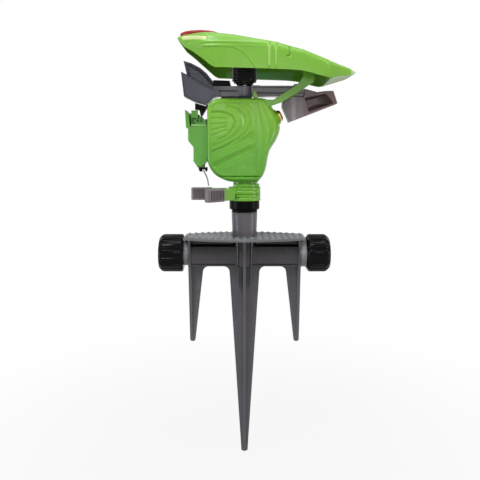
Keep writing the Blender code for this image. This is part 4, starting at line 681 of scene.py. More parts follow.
def make_hood():
    """The beak-shaped cover over the arm, with the lines moulded into its sides."""
    first, last = HOOD_STATIONS[0][0], HOOD_STATIONS[-1][0]
    count, play, floor_lift = 420, 0.004, 0.0004
    places = [first + (last - first) * index / count for index in range(count + 1)]
    outer = np.array([[(x, y, z) for y, z in hood_section(x)] for x in places])
    flat = outer[:, :, [0, 2]].reshape(-1, 2)
    relief = np.zeros(len(flat))
    for line, width, height in HOOD_RELIEF:
        relief -= groove(off_line(flat, line), width, height)
    left, right, middle, slope, tall = TAIL_PANEL
    level = np.abs(flat[:, 1] - middle + (flat[:, 0] - left) * slope)
    inside = rise(flat[:, 0], left - 0.0006, left) * (1 - rise(flat[:, 0], right, right + 0.0008))
    relief -= 0.00040 * inside * (1 - rise(level, tall, tall + 0.0006))
    relief -= 0.00030 * rise(flat[:, 0], 0.0212, 0.0222) * (1 - rise(flat[:, 0], 0.0760, 0.0960))
    depth = np.abs(outer[:, :, 1])
    widest = depth.max(axis=1)[:, None]
    wide_enough = np.clip((widest - 0.004) / 0.006, 0.0, 1.0)
    relief = relief.reshape(depth.shape) * rise(depth / widest, 0.78, 0.93) * wide_enough
    relief = np.minimum(relief - 0.0009 * wide_enough, 0.0)
    outer[:, :, 1] += np.sign(outer[:, :, 1]) * relief
    rings = []
    for x, ring in zip(places, outer):
        half, edge, shoulder, crown = hood_at(x)
        room = limited(min(shoulder - edge - 1.2 * HOOD_WALL, half - 2 * HOOD_WALL) / play)
        room *= 1 - float(rise(x, *NOSE_FLOOR))
        floor = edge + floor_lift
        inner = hood_section(x, min(HOOD_WALL, half * 0.45), 16, 10)
        inside = [(x, y * 0.995, floor + (max(z, floor) - floor) * room) for y, z in inner]
        rings.append([tuple(point) for point in ring] + inside[::-1])
    shell = Shape().skin(rings).moved(Matrix.Translation((0.0, 0.0, HEAD_Z)))
    return shell.piece("hood_shell", hood_green, "head", "green_moulding", ("hood",), sharp=30.0)


INSERT_ENDS = (-0.0612, -0.0232)
INSERT_HALF = 0.0118


def make_insert():
    """The red lens-shaped badge plate on the hood's tail, left bare."""
    low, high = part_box("hood_insert")
    middle, reach = (INSERT_ENDS[0] + INSERT_ENDS[1]) / 2, (INSERT_ENDS[1] - INSERT_ENDS[0]) / 2
    rings = []
    profile = (
        (0.96, -0.50), (1.0, 0.0), (1.0, 0.34), (0.995, 0.42), (0.98, 0.50), (0.95, 0.58), (0.90, 0.67),
        (0.82, 0.77), (0.70, 0.87), (0.55, 0.93), (0.38, 0.97), (0.18, 0.995), (0.02, 1.0),
    )
    for shrink, lift in profile:
        ring = []
        for along, sine in circle(1.0, 120):
            across = sine * abs(sine) ** 0.15
            rim = 1.0 - 0.06 * (1 - abs(sine)) * (lift > 0.4)
            ring.append((middle + reach * along * shrink * rim, INSERT_HALF * across * shrink,
                         low.z + (high.z - low.z) * lift))
        rings.append(ring)
    shape = Shape().skin(rings)
    return shape.piece("red_badge_plate", red, "head", "red_moulding", ("hood_insert",), sharp=50.0)


# Head body
COVER_END = 0.0109           # the seam between the half shells and the cheek
COVER_HALF = 0.0160
COVER_ROUND = 0.0042
COVER_BOTTOM = 0.0050
CORE_HALF = 0.0075
CORE_EDGE = 0.0004
BODY_TOP = 0.0824
COVER_CORNERS = (
    (COVER_END, COVER_BOTTOM),
    (-0.0150, COVER_BOTTOM, 0.0200),
    (-0.0270, 0.0107, 0.0180),
    (-0.0322, 0.0175, 0.0200),
    (-0.0347, 0.0250, 0.0240),
    (-0.0347, BODY_TOP, 0.0110),
    (COVER_END, BODY_TOP),
)
REAR_SCREWS = ((-0.0262, 0.0700), (-0.0262, 0.0270), (-0.0140, 0.0140))
LIP_LINE = 0.0096            # a groove at this height parts the lower lip from the faces
COVER_STEP = 0.0006          # the swirl's field lies this much inside the rim


def lip_line(height):
    return groove(np.asarray(height) - LIP_LINE, 0.0006, 0.0016)


# A pixel of the photograph, the place on the head's near face that it shows in mm, and a pixel's size there
ZERO_PIXEL = (243.0, 160.0)
ZERO_PLACE = (-1.4, 275.0)
PIXEL = 0.921
# The swirl's lines in those pixels
SWIRL_HOOK = (
    (207.0, 112.8), (220.0, 112.6), (227.0, 113.6), (232.0, 117.0), (234.6, 122.0), (234.0, 127.0),
    (231.0, 132.0), (226.0, 136.5), (219.0, 140.0),
)
SWIRL_CRESCENT = (
    (228.5, 107.0), (235.0, 109.0), (240.0, 113.0), (243.2, 118.5), (243.6, 124.0), (241.0, 130.0),
    (235.0, 136.0), (226.0, 141.0), (214.0, 146.0),
)
SWIRL_OUTER = (
    (233.0, 103.0), (241.0, 105.5), (247.0, 110.5), (250.5, 118.0), (250.0, 126.0), (246.5, 132.0),
    (238.0, 139.0), (226.0, 146.0), (212.0, 152.0),
)
SWIRL_FAR = ((243.0, 103.0), (250.0, 108.0), (254.0, 116.0), (254.5, 126.0), (252.0, 134.0))
# Four strokes inside the hook: their heights at its left, middle and right
STROKE_PLACES = (207.0, 216.0, 226.0)
STROKES = ((118.0, 118.0, 118.6), (124.4, 124.0, 123.2), (130.6, 129.4, 126.4), (137.0, 134.6, 130.4))
# Below them two broad waves cross the face: the way across them, where they start, pitch and end
WAVE_WAY = (0.423, 0.906)
WAVE_START = 210.0 * WAVE_WAY[0] + 150.0 * WAVE_WAY[1]
WAVE_PITCH = 11.5
WAVE_END = 21.0


def pixels(x, height):
    """Where places on the head's near face lie in the photograph."""
    across = ZERO_PIXEL[0] + (x * 1000 - ZERO_PLACE[0]) / PIXEL
    down = ZERO_PIXEL[1] - ((height + HEAD_Z) * 1000 - ZERO_PLACE[1]) / PIXEL
    return across, down


def swirl_relief(flat):
    """Depth of the moulded swirl at points (x, height above the head's underside)."""
    u, v = pixels(flat[:, 0], flat[:, 1])
    spots = np.stack([u, v], axis=1)
    relief = groove(off_line(spots, SWIRL_HOOK), 1.35, 1.15) * (1 - 0.65 * rise(v, 124.0, 136.0))
    fade = 0.35 + 0.65 * np.exp(-((v - 116.0) / 11.0) ** 2)
    relief += groove(off_line(spots, SWIRL_CRESCENT), 2.3, 1.25) * fade
    relief += groove(off_line(spots, SWIRL_OUTER), 1.2, 0.50)
    relief += groove(off_line(spots, SWIRL_FAR), 1.0, 0.35)
    for heights in STROKES:
        relief += groove(off_line(spots, tuple(zip(STROKE_PLACES, heights))), 0.80, 0.40)
    across = u * WAVE_WAY[0] + v * WAVE_WAY[1] - WAVE_START
    wave = 0.5 - 0.5 * np.cos(2 * np.pi * across / WAVE_PITCH)
    relief -= 0.80 * wave * rise(across, -3.0, 2.0) * (1 - rise(across, WAVE_END, WAVE_END + 4.0))
    return relief * 0.001


def reach_of(ray, centre, segments):
    """How far an outline lies from the centre along a ray."""
    reach = 0.0
    for a, b in segments:
        along, offset = b - a, a - centre
        cross = ray[0] * along[1] - ray[1] * along[0]
        if abs(cross) < 1e-12:
            continue
        distance = (offset[0] * along[1] - offset[1] * along[0]) / cross
        share = (offset[0] * ray[1] - offset[1] * ray[0]) / cross
        if distance > 0 and -1e-6 <= share <= 1 + 1e-6:
            reach = max(reach, distance)
    return reach


def make_cover(name, node, side):
    """One half shell of the head. The swirl is moulded into its face."""
    outline = arc_corners(COVER_CORNERS, 14)
    edge_line = outline + outline[:1]
    centre = np.array((-0.0115, 0.0445))
    count, steps = 420, 84
    segments = [(np.array(a), np.array(b)) for a, b in zip(edge_line, edge_line[1:])]
    seam_ends = [(z - centre[1], COVER_END - centre[0]) for z in (COVER_BOTTOM, BODY_TOP)]
    turns = sorted([2 * math.pi * index / count for index in range(count)]
                   + [math.atan2(up, along) % (2 * math.pi) for up, along in seam_ends])
    rays = [np.array((math.cos(turn), math.sin(turn))) for turn in turns]
    spokes = [centre + ray * reach_of(ray, centre, segments) for ray in rays]
    rim = [(a, b) for a, b in segments if min(a[0], b[0]) <= COVER_END - 1e-6]
    rings = []
    for step in range(1, steps + 1):
        flat = np.array([centre + (spoke - centre) * step / steps for spoke in spokes])
        to_edge = np.minimum.reduce([off_line(flat, line) for line in rim])
        bend = np.clip(to_edge / COVER_ROUND, 0.0, 1.0)
        depth = COVER_HALF - COVER_ROUND + COVER_ROUND * np.sqrt(np.clip(1 - (1 - bend) ** 2, 0.0, 1.0))
        from_seam = rise(COVER_END - flat[:, 0], 0.0004, 0.0060)
        relief = (swirl_relief(flat) * from_seam - COVER_STEP) * rise(to_edge, 0.0030, 0.0052)
        relief += groove(to_edge - 0.0036, 0.0005, 0.00034) * (flat[:, 1] < 0.074) * (flat[:, 1] > 0.014)
        relief += lip_line(flat[:, 1]) * rise(flat[:, 0], -0.0250, -0.0170)
        relief = np.minimum(relief, 0.0)
        for spot in REAR_SCREWS if side > 0 else ():
            relief = relief * rise(np.linalg.norm(flat - np.array(spot), axis=1), 0.0034, 0.0050)
        rings.append([(x, side * y, z + HEAD_Z) for (x, z), y in zip(flat, depth + relief)])
    for depth in (COVER_HALF - COVER_ROUND * 1.2, CORE_HALF):
        rings.append([(x, side * depth, z + HEAD_Z) for x, z in spokes])
    return Shape().skin(rings).piece(name, cover_green, "head", "green_moulding", (node,), sharp=38.0)


def make_core():
    """The body between the covers, with its lower back corner rounded like theirs and a narrow fin."""
    corner = [(x, z) for x, z in arc_corners(COVER_CORNERS, 14) if z < 0.030 and x < -0.0100]
    corner += [(-0.0400, corner[-1][1]), (-0.0400, 0.0), (corner[0][0], 0.0)]
    (fin_right, fin_foot), half = (0.0126, 0.0828), 0.020
    beside_fin = ((0.0096, 0.0905), (fin_right, fin_foot), (0.0210, fin_foot), (0.0210, 0.0905))
    cutters = [block(outline, -half, half) for outline in (corner, beside_fin)]
    core = joined("DIFFERENCE", softened_solid("body", CORE_EDGE), *cutters)
    for vertex in core.data.vertices:
        if vertex.co.x > fin_right + 0.0001:
            vertex.co.z = min(vertex.co.z, HEAD_Z + fin_foot)
    drawn_back(core, "body", CORE_EDGE)
    dress(core, "body_core", cover_green, "head", ("body",), sharp=40.0)
    return even_shading(core)


CHEEK_LEVELS = (
    # height and reach along X
    (COVER_BOTTOM, 0.0130), (0.0109, 0.0176), (0.0187, 0.0204), (0.0272, 0.0219), (0.0346, 0.0240),
    (0.0439, 0.0298), (0.0525, 0.0331), (0.0605, 0.0330), (0.0720, 0.0280), (BODY_TOP, 0.0210),
)
# The line where the cheek turns in towards the barrel, in the photograph's pixels: down, then across
CHEEK_RIDGE = (
    (96.0, 110.0, 122.0, 132.0, 150.0, 170.0, 180.0), (257.5, 260.5, 265.0, 267.5, 267.0, 263.0, 258.5),
)


def make_cheek():
    """The bulging front of the body, round the nozzle barrel, flush with the covers at the seam."""
    seam, joint = COVER_END - 0.0002, 0.0004
    levels, flats, bends = 150, 12, 28
    rings = []
    for level in range(levels + 1):
        height = COVER_BOTTOM + (BODY_TOP - COVER_BOTTOM) * level / levels
        reach = eased(CHEEK_LEVELS, height)[0]
        ridge = float(np.interp(pixels(0.0, height)[1], *CHEEK_RIDGE))
        ridge_x = min((ZERO_PLACE[0] + (ridge - ZERO_PIXEL[0]) * PIXEL) * 0.001, reach - 0.0030)
        from_end = min(height - COVER_BOTTOM, BODY_TOP - height)
        bend = limited(from_end / COVER_ROUND)
        face = COVER_HALF - COVER_ROUND + COVER_ROUND * math.sqrt(1 - (1 - bend) ** 2)
        face += float(lip_line(height))
        inside = COVER_STEP * float(rise(from_end, 0.0030, 0.0052))
        side = [(seam, face - inside), (seam + joint, face - inside)]
        for step in range(1, flats + 1):
            share = step / flats
            crest = float(rise(share, 0.35, 1.0))
            side.append((seam + joint + (ridge_x - seam - joint) * share, face - inside * (1 - crest)))
        depth = side[-1][1]
        for step in range(1, bends + 1):
            angle = math.pi / 2 * step / bends
            across = depth * math.cos(angle) ** 0.80
            side.append((ridge_x + (reach - ridge_x) * math.sin(angle) ** 0.92, across))
        whole = [(x, -y) for x, y in side] + side[-2::-1]
        rings.append([(x, y, HEAD_Z + height) for x, y in whole])
    return Shape().skin(rings).piece("body_cheek", cover_green, "head", "green_moulding", sharp=24.0)


# Arm
COUNTERWEIGHT_UNDERSIDE = (
    (-0.0569, -0.0001), (-0.0478, -0.0047), (-0.0363, -0.0081), (-0.0299, -0.0014), (-0.0237, 0.0007),
)
FAR_BLADE_TOP = (
    (-0.0237, 0.0108), (-0.0309, 0.0164), (-0.0363, 0.0232), (-0.0423, 0.0283), (-0.0512, 0.0329),
    (-0.0584, 0.0351), (-0.0556, 0.0232),
)
NEAR_BLADE_TOP = (
    (-0.0237, 0.0057), (-0.0280, 0.0061), (-0.0356, 0.0090), (-0.0451, 0.0147), (-0.0537, 0.0199),
    (-0.0597, 0.0232),
)
FLOOR_TOP = (
    (-0.0237, 0.0047), (-0.0310, 0.0033), (-0.0370, -0.0032), (-0.0475, -0.0002), (-0.0572, 0.0043),
)
BLADE_HALF = 0.0066
BLADE = 0.0026
BLADE_EDGE = 0.00025
BLADE_GROOVE = 0.0009
HUB_HEIGHT = 0.0098
BAR_NEAR = 0.0077
BAR_FAR = 0.0046
BAR_END = 0.0555
BAR_EDGE = 0.0003


def panel(outline, near, far, rim, width):
    """A plate with a groove inside the rim of each face, and a field a little below the rim."""
    depth, field, slant = BLADE_GROOVE, 0.0003, 0.0002
    steps = (
        (rim + 2 * width + 2 * slant, field), (rim + width + slant, depth), (rim + slant, depth), (rim, 0.0),
    )

    def face(level, inward):
        return [
            [(x, level + inward * sunk, z) for x, z in inset(outline, distance)] for distance, sunk in steps
        ]

    rings = face(near, 1.0) + [[(x, near, z) for x, z in outline], [(x, far, z) for x, z in outline]]
    return Shape().skin(rings + face(far, -1.0)[::-1]).solid(BLADE_EDGE)


def grooved_plate(outline, near, far, rim, width):
    """A plate with one groove inside the rim of its near face."""
    outer, inner = inset(outline, rim), inset(outline, rim + width)
    outside, bottom = near - 0.001, near + BLADE_GROOVE
    corners = ((outer, outside), (outer, bottom), (inner, bottom), (inner, outside), (outer, outside))
    channel = Shape().skin([[(x, level, z) for x, z in ring] for ring, level in corners], ends=False)
    return joined("DIFFERENCE", block(outline, near, far, 0.0, BLADE_EDGE), channel.solid())


def make_arm():
    """Hub, striking bar and the two-bladed counterweight."""
    low, high = ARM_Z, ARM_Z + HUB_HEIGHT
    inner, middle = BLADE_HALF - BLADE, BLADE_HALF - BLADE / 2
    far_outline, near_outline, floor_outline = (
        raised(COUNTERWEIGHT_UNDERSIDE + top, low) for top in (FAR_BLADE_TOP, NEAR_BLADE_TOP, FLOOR_TOP)
    )
    far_blade = panel(far_outline, inner, BLADE_HALF, 0.0018, 0.0007)
    near_blade = grooved_plate(near_outline, -BLADE_HALF, -inner, 0.0008, 0.0005)
    floor = block(floor_outline, -middle, middle, 0.0)
    groove_floor = BAR_FAR - 0.0014
    left = mirrored([(-BAR_FAR, low), (-BAR_FAR, low + 0.0045), (-groove_floor, low + 0.0047),
                     (-groove_floor, low + 0.0055), (-BAR_FAR, low + 0.0057), (-BAR_FAR, high)])
    left_bar = Shape().prism(left, -0.0300, 0.0, "YZ").solid(BAR_EDGE)
    right = [(-BAR_NEAR, low), (-BAR_NEAR, low + 0.0022), (-BAR_NEAR + 0.0006, low + 0.0026),
             (-BAR_NEAR + 0.0006, low + 0.0032), (-BAR_NEAR, low + 0.0036), (-BAR_NEAR, low + 0.0076),
             (-BAR_NEAR + 0.0005, low + 0.0080), (-BAR_NEAR + 0.0005, high), (BAR_FAR, high), (BAR_FAR, low)]
    right_bar = Shape().prism(right, 0.0062, BAR_END, "YZ").solid(BAR_EDGE)
    barrel = [(0.0068, low), (0.0074, low + 0.0004), (0.0074, high - 0.0008), (0.0068, high)]
    hub = Shape().turned(barrel, sides=72)
    bore = Shape().turned([(0.0034, low - 0.001), (0.0034, high + 0.001)], sides=48)
    arm = joined("UNION", near_blade, floor, far_blade, left_bar, right_bar, hub.solid())
    joined("DIFFERENCE", arm, bore.solid())
    return even_shading(dress(arm, "arm_moulding", arm_grey, "arm", ("impact_arm",)))


SPOON_OUTLINE = (
    (0.0356, -0.0053), (0.0356, -0.0098), (0.0419, -0.0243), (0.0874, -0.0067), (0.0836, 0.0052),
    (0.0751, 0.0048), (0.0683, 0.0039), (0.0567, 0.0069), (0.0558, 0.0069), (0.0558, -0.0003),
    (0.0410, -0.0003),
)
SPOON_WINDOW = ((0.0562, -0.0016), (0.0768, 0.0026), (0.0842, -0.0066), (0.0600, -0.0150))
SPOON_RIDGE = 0.0472
# The pocket's depth, its size against the window and how far it slides to the left
SPOON_POCKET = (
    (-0.002, 1.02, 0.0), (0.0030, 0.98, 0.0), (0.0060, 0.94, -0.0006), (0.0085, 0.86, -0.0018),
    (0.0105, 0.72, -0.0036), (0.0118, 0.52, -0.0056),
)


def make_spoon():
    """The paddle: a solid left end with an upright ridge, then a scooped pocket inside a rim."""
    low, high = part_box("spoon")
    near, far = low.y, high.y
    front, back = near - 0.0020, near + 0.0016
    left_face = [(0.0330, front), (SPOON_RIDGE, front), (SPOON_RIDGE, near), (0.0330, back)]
    right_face = [(SPOON_RIDGE, front), (0.0900, front), (0.0900, back), (SPOON_RIDGE, near)]
    below, above = low.z - 0.002, high.z + 0.002
    sides = [Shape().prism(face, below, above, "XY").solid() for face in (left_face, right_face)]
    paddle = joined("DIFFERENCE", block(SPOON_OUTLINE, near, far, ARM_Z), *sides)
    baked(round_edges(paddle, 0.0006, 3))
    window = raised(SPOON_WINDOW, ARM_Z)
    centre = Vector((sum(x for x, z in window) / 4, sum(z for x, z in window) / 4))
    rings = []
    for depth, size, slide in SPOON_POCKET:
        corners = [centre + (Vector(point) - centre) * size for point in window]
        ring = arc_corners([(x, z, 0.0016 * size) for x, z in corners], 6)
        rings.append([(x + slide, near + depth, z) for x, z in ring])
    joined("DIFFERENCE", paddle, Shape().skin(rings).solid())
    return even_shading(dress(paddle, "spoon_moulding", spoon_grey, "arm", ("spoon",)))


def make_spring():
    """The arm's coil. It narrows to its foot and has a straight leg at each end."""
    foot = ARM_Z + HUB_HEIGHT + 0.0003 + 0.0009
    wide, narrow, curls, narrowing, leg = 0.0109, 0.0064, 11, 2.2, 0.0040
    pitch, wire, steps = 0.02144 / curls, 0.00096, 36
    route = [Vector((wide + leg, narrow, foot)), Vector((wide * 0.55, narrow, foot))]
    for index in range(curls * steps + 1):
        curl = index / steps
        radius = narrow + (wide - narrow) * float(rise(curl, 0.0, narrowing))
        angle = 2 * math.pi * (curl + 0.25)
        height = foot + pitch * curl
        route.append(Vector((radius * math.cos(angle), radius * math.sin(angle), height)))
    route.append(Vector((-leg, wide, route[-1].z)))
    rings = []
    for before, here, after in zip(route[:1] + route, route, route[1:] + route[-1:]):
        along = (after - before).normalized()
        side = along.cross(Vector((0, 0, 1))).normalized()
        up = side.cross(along)
        rings.append([here + side * a + up * b for a, b in circle(wire, 16)])
    shape = Shape().skin(rings)
    coil = shape.piece("arm_coil_spring", coil_black, None, "black_spring", ("arm_spring",), sharp=60.0)
    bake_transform(coil)


# Base
PLATE_LENGTH = 0.1136
PLATE_DEPTH = 0.0560
PLATE_END_DEPTH = 0.0270
RIDGE_PITCH = 0.0059
RIDGE_HEIGHT = 0.0014


def plate_half(x):
    share = 1 - (2 * x / PLATE_LENGTH) ** 2
    return (PLATE_END_DEPTH + (PLATE_DEPTH - PLATE_END_DEPTH) * share) / 2


def make_plate():
    """The foot plate: ridges on the left, rows of studs on the right, a smooth bowed lip."""
    low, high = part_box("step_plate")
    top, side = high.z - RIDGE_HEIGHT, 0.0007
    columns, rows = 460, 96
    hole, stud_pitch, margin, lip_height = 0.0119, 0.0043, 0.0012, 0.00025
    rings = []
    for index in range(columns + 1):
        x = -PLATE_LENGTH / 2 + PLATE_LENGTH * index / columns
        half = plate_half(x)
        ridge = (0.5 + 0.5 * math.cos(2 * math.pi * x / RIDGE_PITCH)) ** 0.9
        shift = 0.5 * (round(x / RIDGE_PITCH) % 2)
        studded = limited((x + 0.004) / 0.010)
        ring = [(x, -half, low.z), (x, -half, top - side)]
        for row in range(rows + 1):
            y = -half + 2 * half * row / rows
            inward = min(half - abs(y), PLATE_LENGTH / 2 - abs(x))
            stud = (0.5 + 0.5 * math.cos(2 * math.pi * (y / stud_pitch + shift))) ** 0.8
            lift = ridge * (1 - studded * 0.72 * (1 - stud))
            lift *= limited((inward - margin) / margin) * limited((math.hypot(x, y) - hole - 0.0008) / margin)
            lip = math.exp(-(((inward - 0.0006) / 0.0005) ** 2)) * lip_height
            ring.append((x, y, top + RIDGE_HEIGHT * lift + lip - side * (inward < 0.0003)))
        ring += [(x, half, top - side), (x, half, low.z)]
        rings.append(ring)
    shape = Shape().skin(rings)
    return shape.piece("foot_plate", plate_grey, "base", "grey_moulding", ("step_plate",), sharp=50.0)


SPIKE_LENGTH = 0.1742
FRAME_HALF = 0.0530
END_WALL = 0.0028
TUBE_RADIUS = 0.0086
SPIKE_WEB = (
    # right half, from the tip: x, height and corner radius
    (0.0029, 0.0), (0.0145, SPIKE_LENGTH, 0.0055), (0.0388, SPIKE_LENGTH, 0.0055), (0.0466, 0.1035, 0.0019),
    (0.0514, 0.1035, 0.0019), (FRAME_HALF, 0.2004),
)


def make_spike():
    """Three prongs with their ribs, the beam, the through tube and the riser, moulded in one."""
    low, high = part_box("spike_base")
    plate_low, plate_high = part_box("step_plate")
    under = plate_low.z - 0.0003
    left = [(-point[0], *point[1:]) for point in reversed(SPIKE_WEB)]
    web = Shape().prism(arc_corners(list(SPIKE_WEB) + left, 8), -0.0018, 0.0018).solid(0.0005)
    rib_foot, rib_half, rib_top = 0.0029, 0.0136, 0.1868
    rib = mirrored([(-rib_foot, 0.0), (-rib_half, rib_top), (-rib_half, under)])
    parts = [Shape().prism(rib, -0.0013, 0.0013, "YZ").solid(0.0004)]
    reach = FRAME_HALF - END_WALL / 2
    corners = ((-1, -1), (1, -1), (1, 1), (-1, 1))
    for side in (-1, 1):
        rings = [
            [(side * middle + a * END_WALL / 2, b * depth, height) for a, b in corners]
            for middle, height, depth in ((0.0500, 0.1049, 0.0022), (reach, under, 0.0120))
        ]
        parts.append(Shape().skin(rings).solid(0.0005))
    floor, roof = SPIKE_LENGTH + 0.0018, SPIKE_LENGTH + 0.0196
    face, edge, recess = 0.0088, 0.0092, 0.0066
    beam = mirrored([
        (-edge, floor), (-edge, floor + 0.0008), (-recess, floor + 0.0010), (-recess, floor + 0.0020),
        (-face, floor + 0.0022), (-face, roof - 0.0012), (-edge, roof - 0.0008), (-edge, roof),
    ])
    parts.append(Shape().prism(beam, -reach, reach, "YZ").solid())
    parts.append(Shape().turned([(0.0111, floor), (0.0111, under)]).solid())
    for x in (-0.0060, 0.0060):
        left, right, half = x - 0.0003, x + 0.0003, 0.0106
        ridge = ((left, -half), (right, -half), (right, half), (left, half))
        parts.append(Shape().prism(ridge, floor - 0.0200, under, "XY").solid())
    riser = [
        (0.0114, TUBE_Z), (0.0114, plate_high.z), (0.0122, high.z - 0.0016), (0.0119, high.z - 0.0012),
        (0.0119, high.z - 0.0009), (0.0123, high.z - 0.0006), (0.0123, high.z - 0.0001), (0.0121, high.z),
    ]
    parts.append(Shape().turned(riser).solid())
    inlet = [(0.0112, low.x), (0.0118, low.x + 0.0006), (0.0118, low.x + 0.0030), (0.0098, low.x + 0.0030),
             (0.0098, low.x + 0.0064), (0.0114, low.x + 0.0064), (0.0118, low.x + 0.0068), (0.0118, -reach),
             (TUBE_RADIUS, -reach + 0.0006), (TUBE_RADIUS, 0.0)]
    crest, root = 0.0130, 0.0123
    spigot = [(TUBE_RADIUS, 0.0), (TUBE_RADIUS, reach - 0.0006), (crest, reach), (crest, high.x - 0.0130)]
    for index in range(4):
        start = high.x - 0.0125 + index * 0.0030
        spigot += [(root, start), (root, start + 0.0010), (crest, start + 0.0016), (crest, start + 0.0023)]
    spigot.append((root, high.x))
    through = [(0.0075, low.x - 0.001), (0.0075, high.x + 0.001)]
    inlet, spigot, waterway = (
        Shape().turned(line, "X", (0.0, TUBE_Z)).solid() for line in (inlet, spigot, through)
    )
    joined("UNION", web, *parts, inlet, spigot)
    seat = high.z - 0.0170
    shaft = Shape().turned([(0.0070, TUBE_Z), (0.0070, seat), (0.0107, seat), (0.0107, high.z + 0.001)])
    joined("DIFFERENCE", web, waterway, shaft.solid())
    return even_shading(dress(web, "spike_moulding", grey, "base", ("spike_base",)))


NUT_RIBS = 16
NUT_RIB_HEIGHT = 0.0007


def knob(profile, bore):
    """A coupling along X with raised ribs. The profile's points are (radius, x, share of the rib)."""
    per_rib = 16
    sides = NUT_RIBS * per_rib
    rings = []
    for radius, x, share in profile:
        ring = []
        for index, (y, z) in enumerate(circle(1.0, sides)):
            from_middle = abs(index % per_rib / per_rib - 0.5)
            reach = radius + NUT_RIB_HEIGHT * share * (1 - float(rise(from_middle, 0.14, 0.22)))
            ring.append((x, reach * y, TUBE_Z + reach * z))
        rings.append(ring)
    rings += [[(x, y, TUBE_Z + z) for y, z in circle(radius, sides)] for radius, x in bore]
    return Shape().skin(rings + rings[:1], ends=False)


def make_nuts():
    """The ribbed hose nut on the left and the ribbed end cap on the right."""
    low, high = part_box("hose_swivel_nut")
    left, right = low.x, high.x
    profile = [
        (0.0134, left + 0.0006, 0.0), (0.0138, left + 0.0001, 0.0), (0.0146, left, 0.0),
        (0.0152, left + 0.0005, 0.1), (0.0159, left + 0.0014, 0.4), (0.0165, left + 0.0027, 0.85),
        (0.0168, left + 0.0044, 1.0), (0.0168, right - 0.0022, 1.0), (0.0167, right - 0.0011, 0.9),
        (0.0162, right - 0.0003, 0.4), (0.0154, right, 0.0),
    ]
    bore = [(0.0103, right), (0.0102, right - 0.0028), (0.0132, right - 0.0030)]
    for index in range(8):
        x = right - 0.0075 - index * 0.0019
        bore += [(0.0132, x + 0.0008), (0.0127, x + 0.0003), (0.0127, x - 0.0003), (0.0132, x - 0.0008)]
    bore = [point for point in bore if point[1] > left + 0.0015] + [(0.0132, left + 0.0012)]
    nut = knob(profile, bore)
    nut.piece("hose_nut", black, "inlet_nut", "black_moulding", ("hose_swivel_nut",), sharp=44.0)
    low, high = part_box("end_cap")
    left, right = low.x, high.x
    profile = [
        (0.0134, left, 0.0), (0.0140, left, 0.0), (0.0152, left + 0.0008, 0.2), (0.0163, left + 0.0020, 0.8),
        (0.0168, left + 0.0030, 1.0), (0.0168, right - 0.0050, 1.0), (0.0166, right - 0.0038, 0.9),
        (0.0158, right - 0.0020, 0.5), (0.0148, right - 0.0006, 0.1), (0.0138, right, 0.0),
        (0.0126, right, 0.0), (0.0120, right - 0.0005, 0.0), (0.0030, right - 0.0006, 0.0),
        (0.0001, right - 0.0006, 0.0),
    ]
    bore = [(0.0001, right - 0.0028), (0.0134, right - 0.0028)]
    knob(profile, bore).piece("blind_cap", black, "cap", "black_moulding", ("end_cap",), sharp=44.0)


TAB_ANGLES = {"upper_collar_tab": 228.0, "lower_collar_tab": 180.0}


def make_tab(node):
    """A grip pushed on a collar's blade, with upright serrations inside a plain rim on both faces."""
    low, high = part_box(node)
    half, start, nose, tip = 0.0038, 0.0308, 0.0484, 0.0504
    teeth, pitch, tooth = 9, 0.00185, 0.0013
    plain = [(start, half - 0.0004), (start + 0.0004, half), (start + 0.0013, half)]
    cut = list(plain)
    for index in range(teeth):
        place = start + 0.0019 + index * pitch
        for offset, depth in ((-0.00056, 0.0), (-0.00030, tooth), (0.00030, tooth), (0.00056, 0.0)):
            plain.append((place + offset, half))
            cut.append((place + offset, half - depth))
    end = [(nose, half), (tip - 0.0012, half * 0.80), (tip - 0.0003, half * 0.62), (tip, half * 0.40)]
    rings = []
    for z, edge, shrink in (
        (low.z, plain, 0.0006), (low.z + 0.0002, plain, 0.0002), (low.z + 0.0006, plain, 0.0),
        (low.z + 0.0014, plain, 0.0), (low.z + 0.0017, cut, 0.0), (high.z - 0.0019, cut, 0.0),
        (high.z - 0.0016, plain, 0.0), (high.z - 0.0006, plain, 0.0), (high.z - 0.0002, plain, 0.0002),
        (high.z, plain, 0.0006),
    ):
        whole = edge + end
        outline = [(r, -s) for r, s in whole] + [(r, s) for r, s in reversed(whole)]
        rings.append([(r - shrink * (r > nose), s - math.copysign(shrink, s), z) for r, s in outline])
    grip = Shape().skin(rings).moved(Matrix.Rotation(math.radians(TAB_ANGLES[node]), 4, "Z"))
    return grip.piece(f"{node}_grip", tab_grey, body_of[node], "grey_moulding", (node,), sharp=30.0)


def pan_screw(name, node, axis, away):
    """A pan-head screw with a cross recess, its head towards the far or the near end of the axis."""
    low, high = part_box(node)
    index, sides = "XYZ".index(axis), 48
    head, radius, drive, slot = 0.0018, 0.0028, 0.0011 * 1.15, 0.00042
    profile = (
        (0.0014, (low - high)[index] + 0.0002), (0.0014, -head), (radius, -head), (radius, -head * 0.55),
        (radius * 0.94, -head * 0.28), (radius * 0.78, -head * 0.08), (radius * 0.6, 0.0),
    )
    rings = [[(a, b, height) for a, b in circle(reach, sides)] for reach, height in profile]
    cross = []
    for a, b in circle(1.0, sides):
        thin, thick = sorted((abs(a), abs(b)))
        reach = drive if thick > 0.955 else min(drive, slot / max(0.12, thin))
        cross.append((reach * a, reach * b))
    rings.append([(a, b, 0.00002) for a, b in cross])
    rings.append([(a * 0.8, b * 0.8, -0.0009) for a, b in cross])
    tip, direction = (low + high) / 2, Vector((0.0, 0.0, 0.0))
    tip[index] = (high if away > 0 else low)[index]
    direction[index] = away
    spin = Vector((0, 0, 1)).rotation_difference(direction).to_matrix().to_4x4()
    screw = Shape().skin(rings).moved(Matrix.Translation(tip) @ spin)
    return screw.piece(name, steel, body_of[node], "steel", (node,), sharp=30.0)


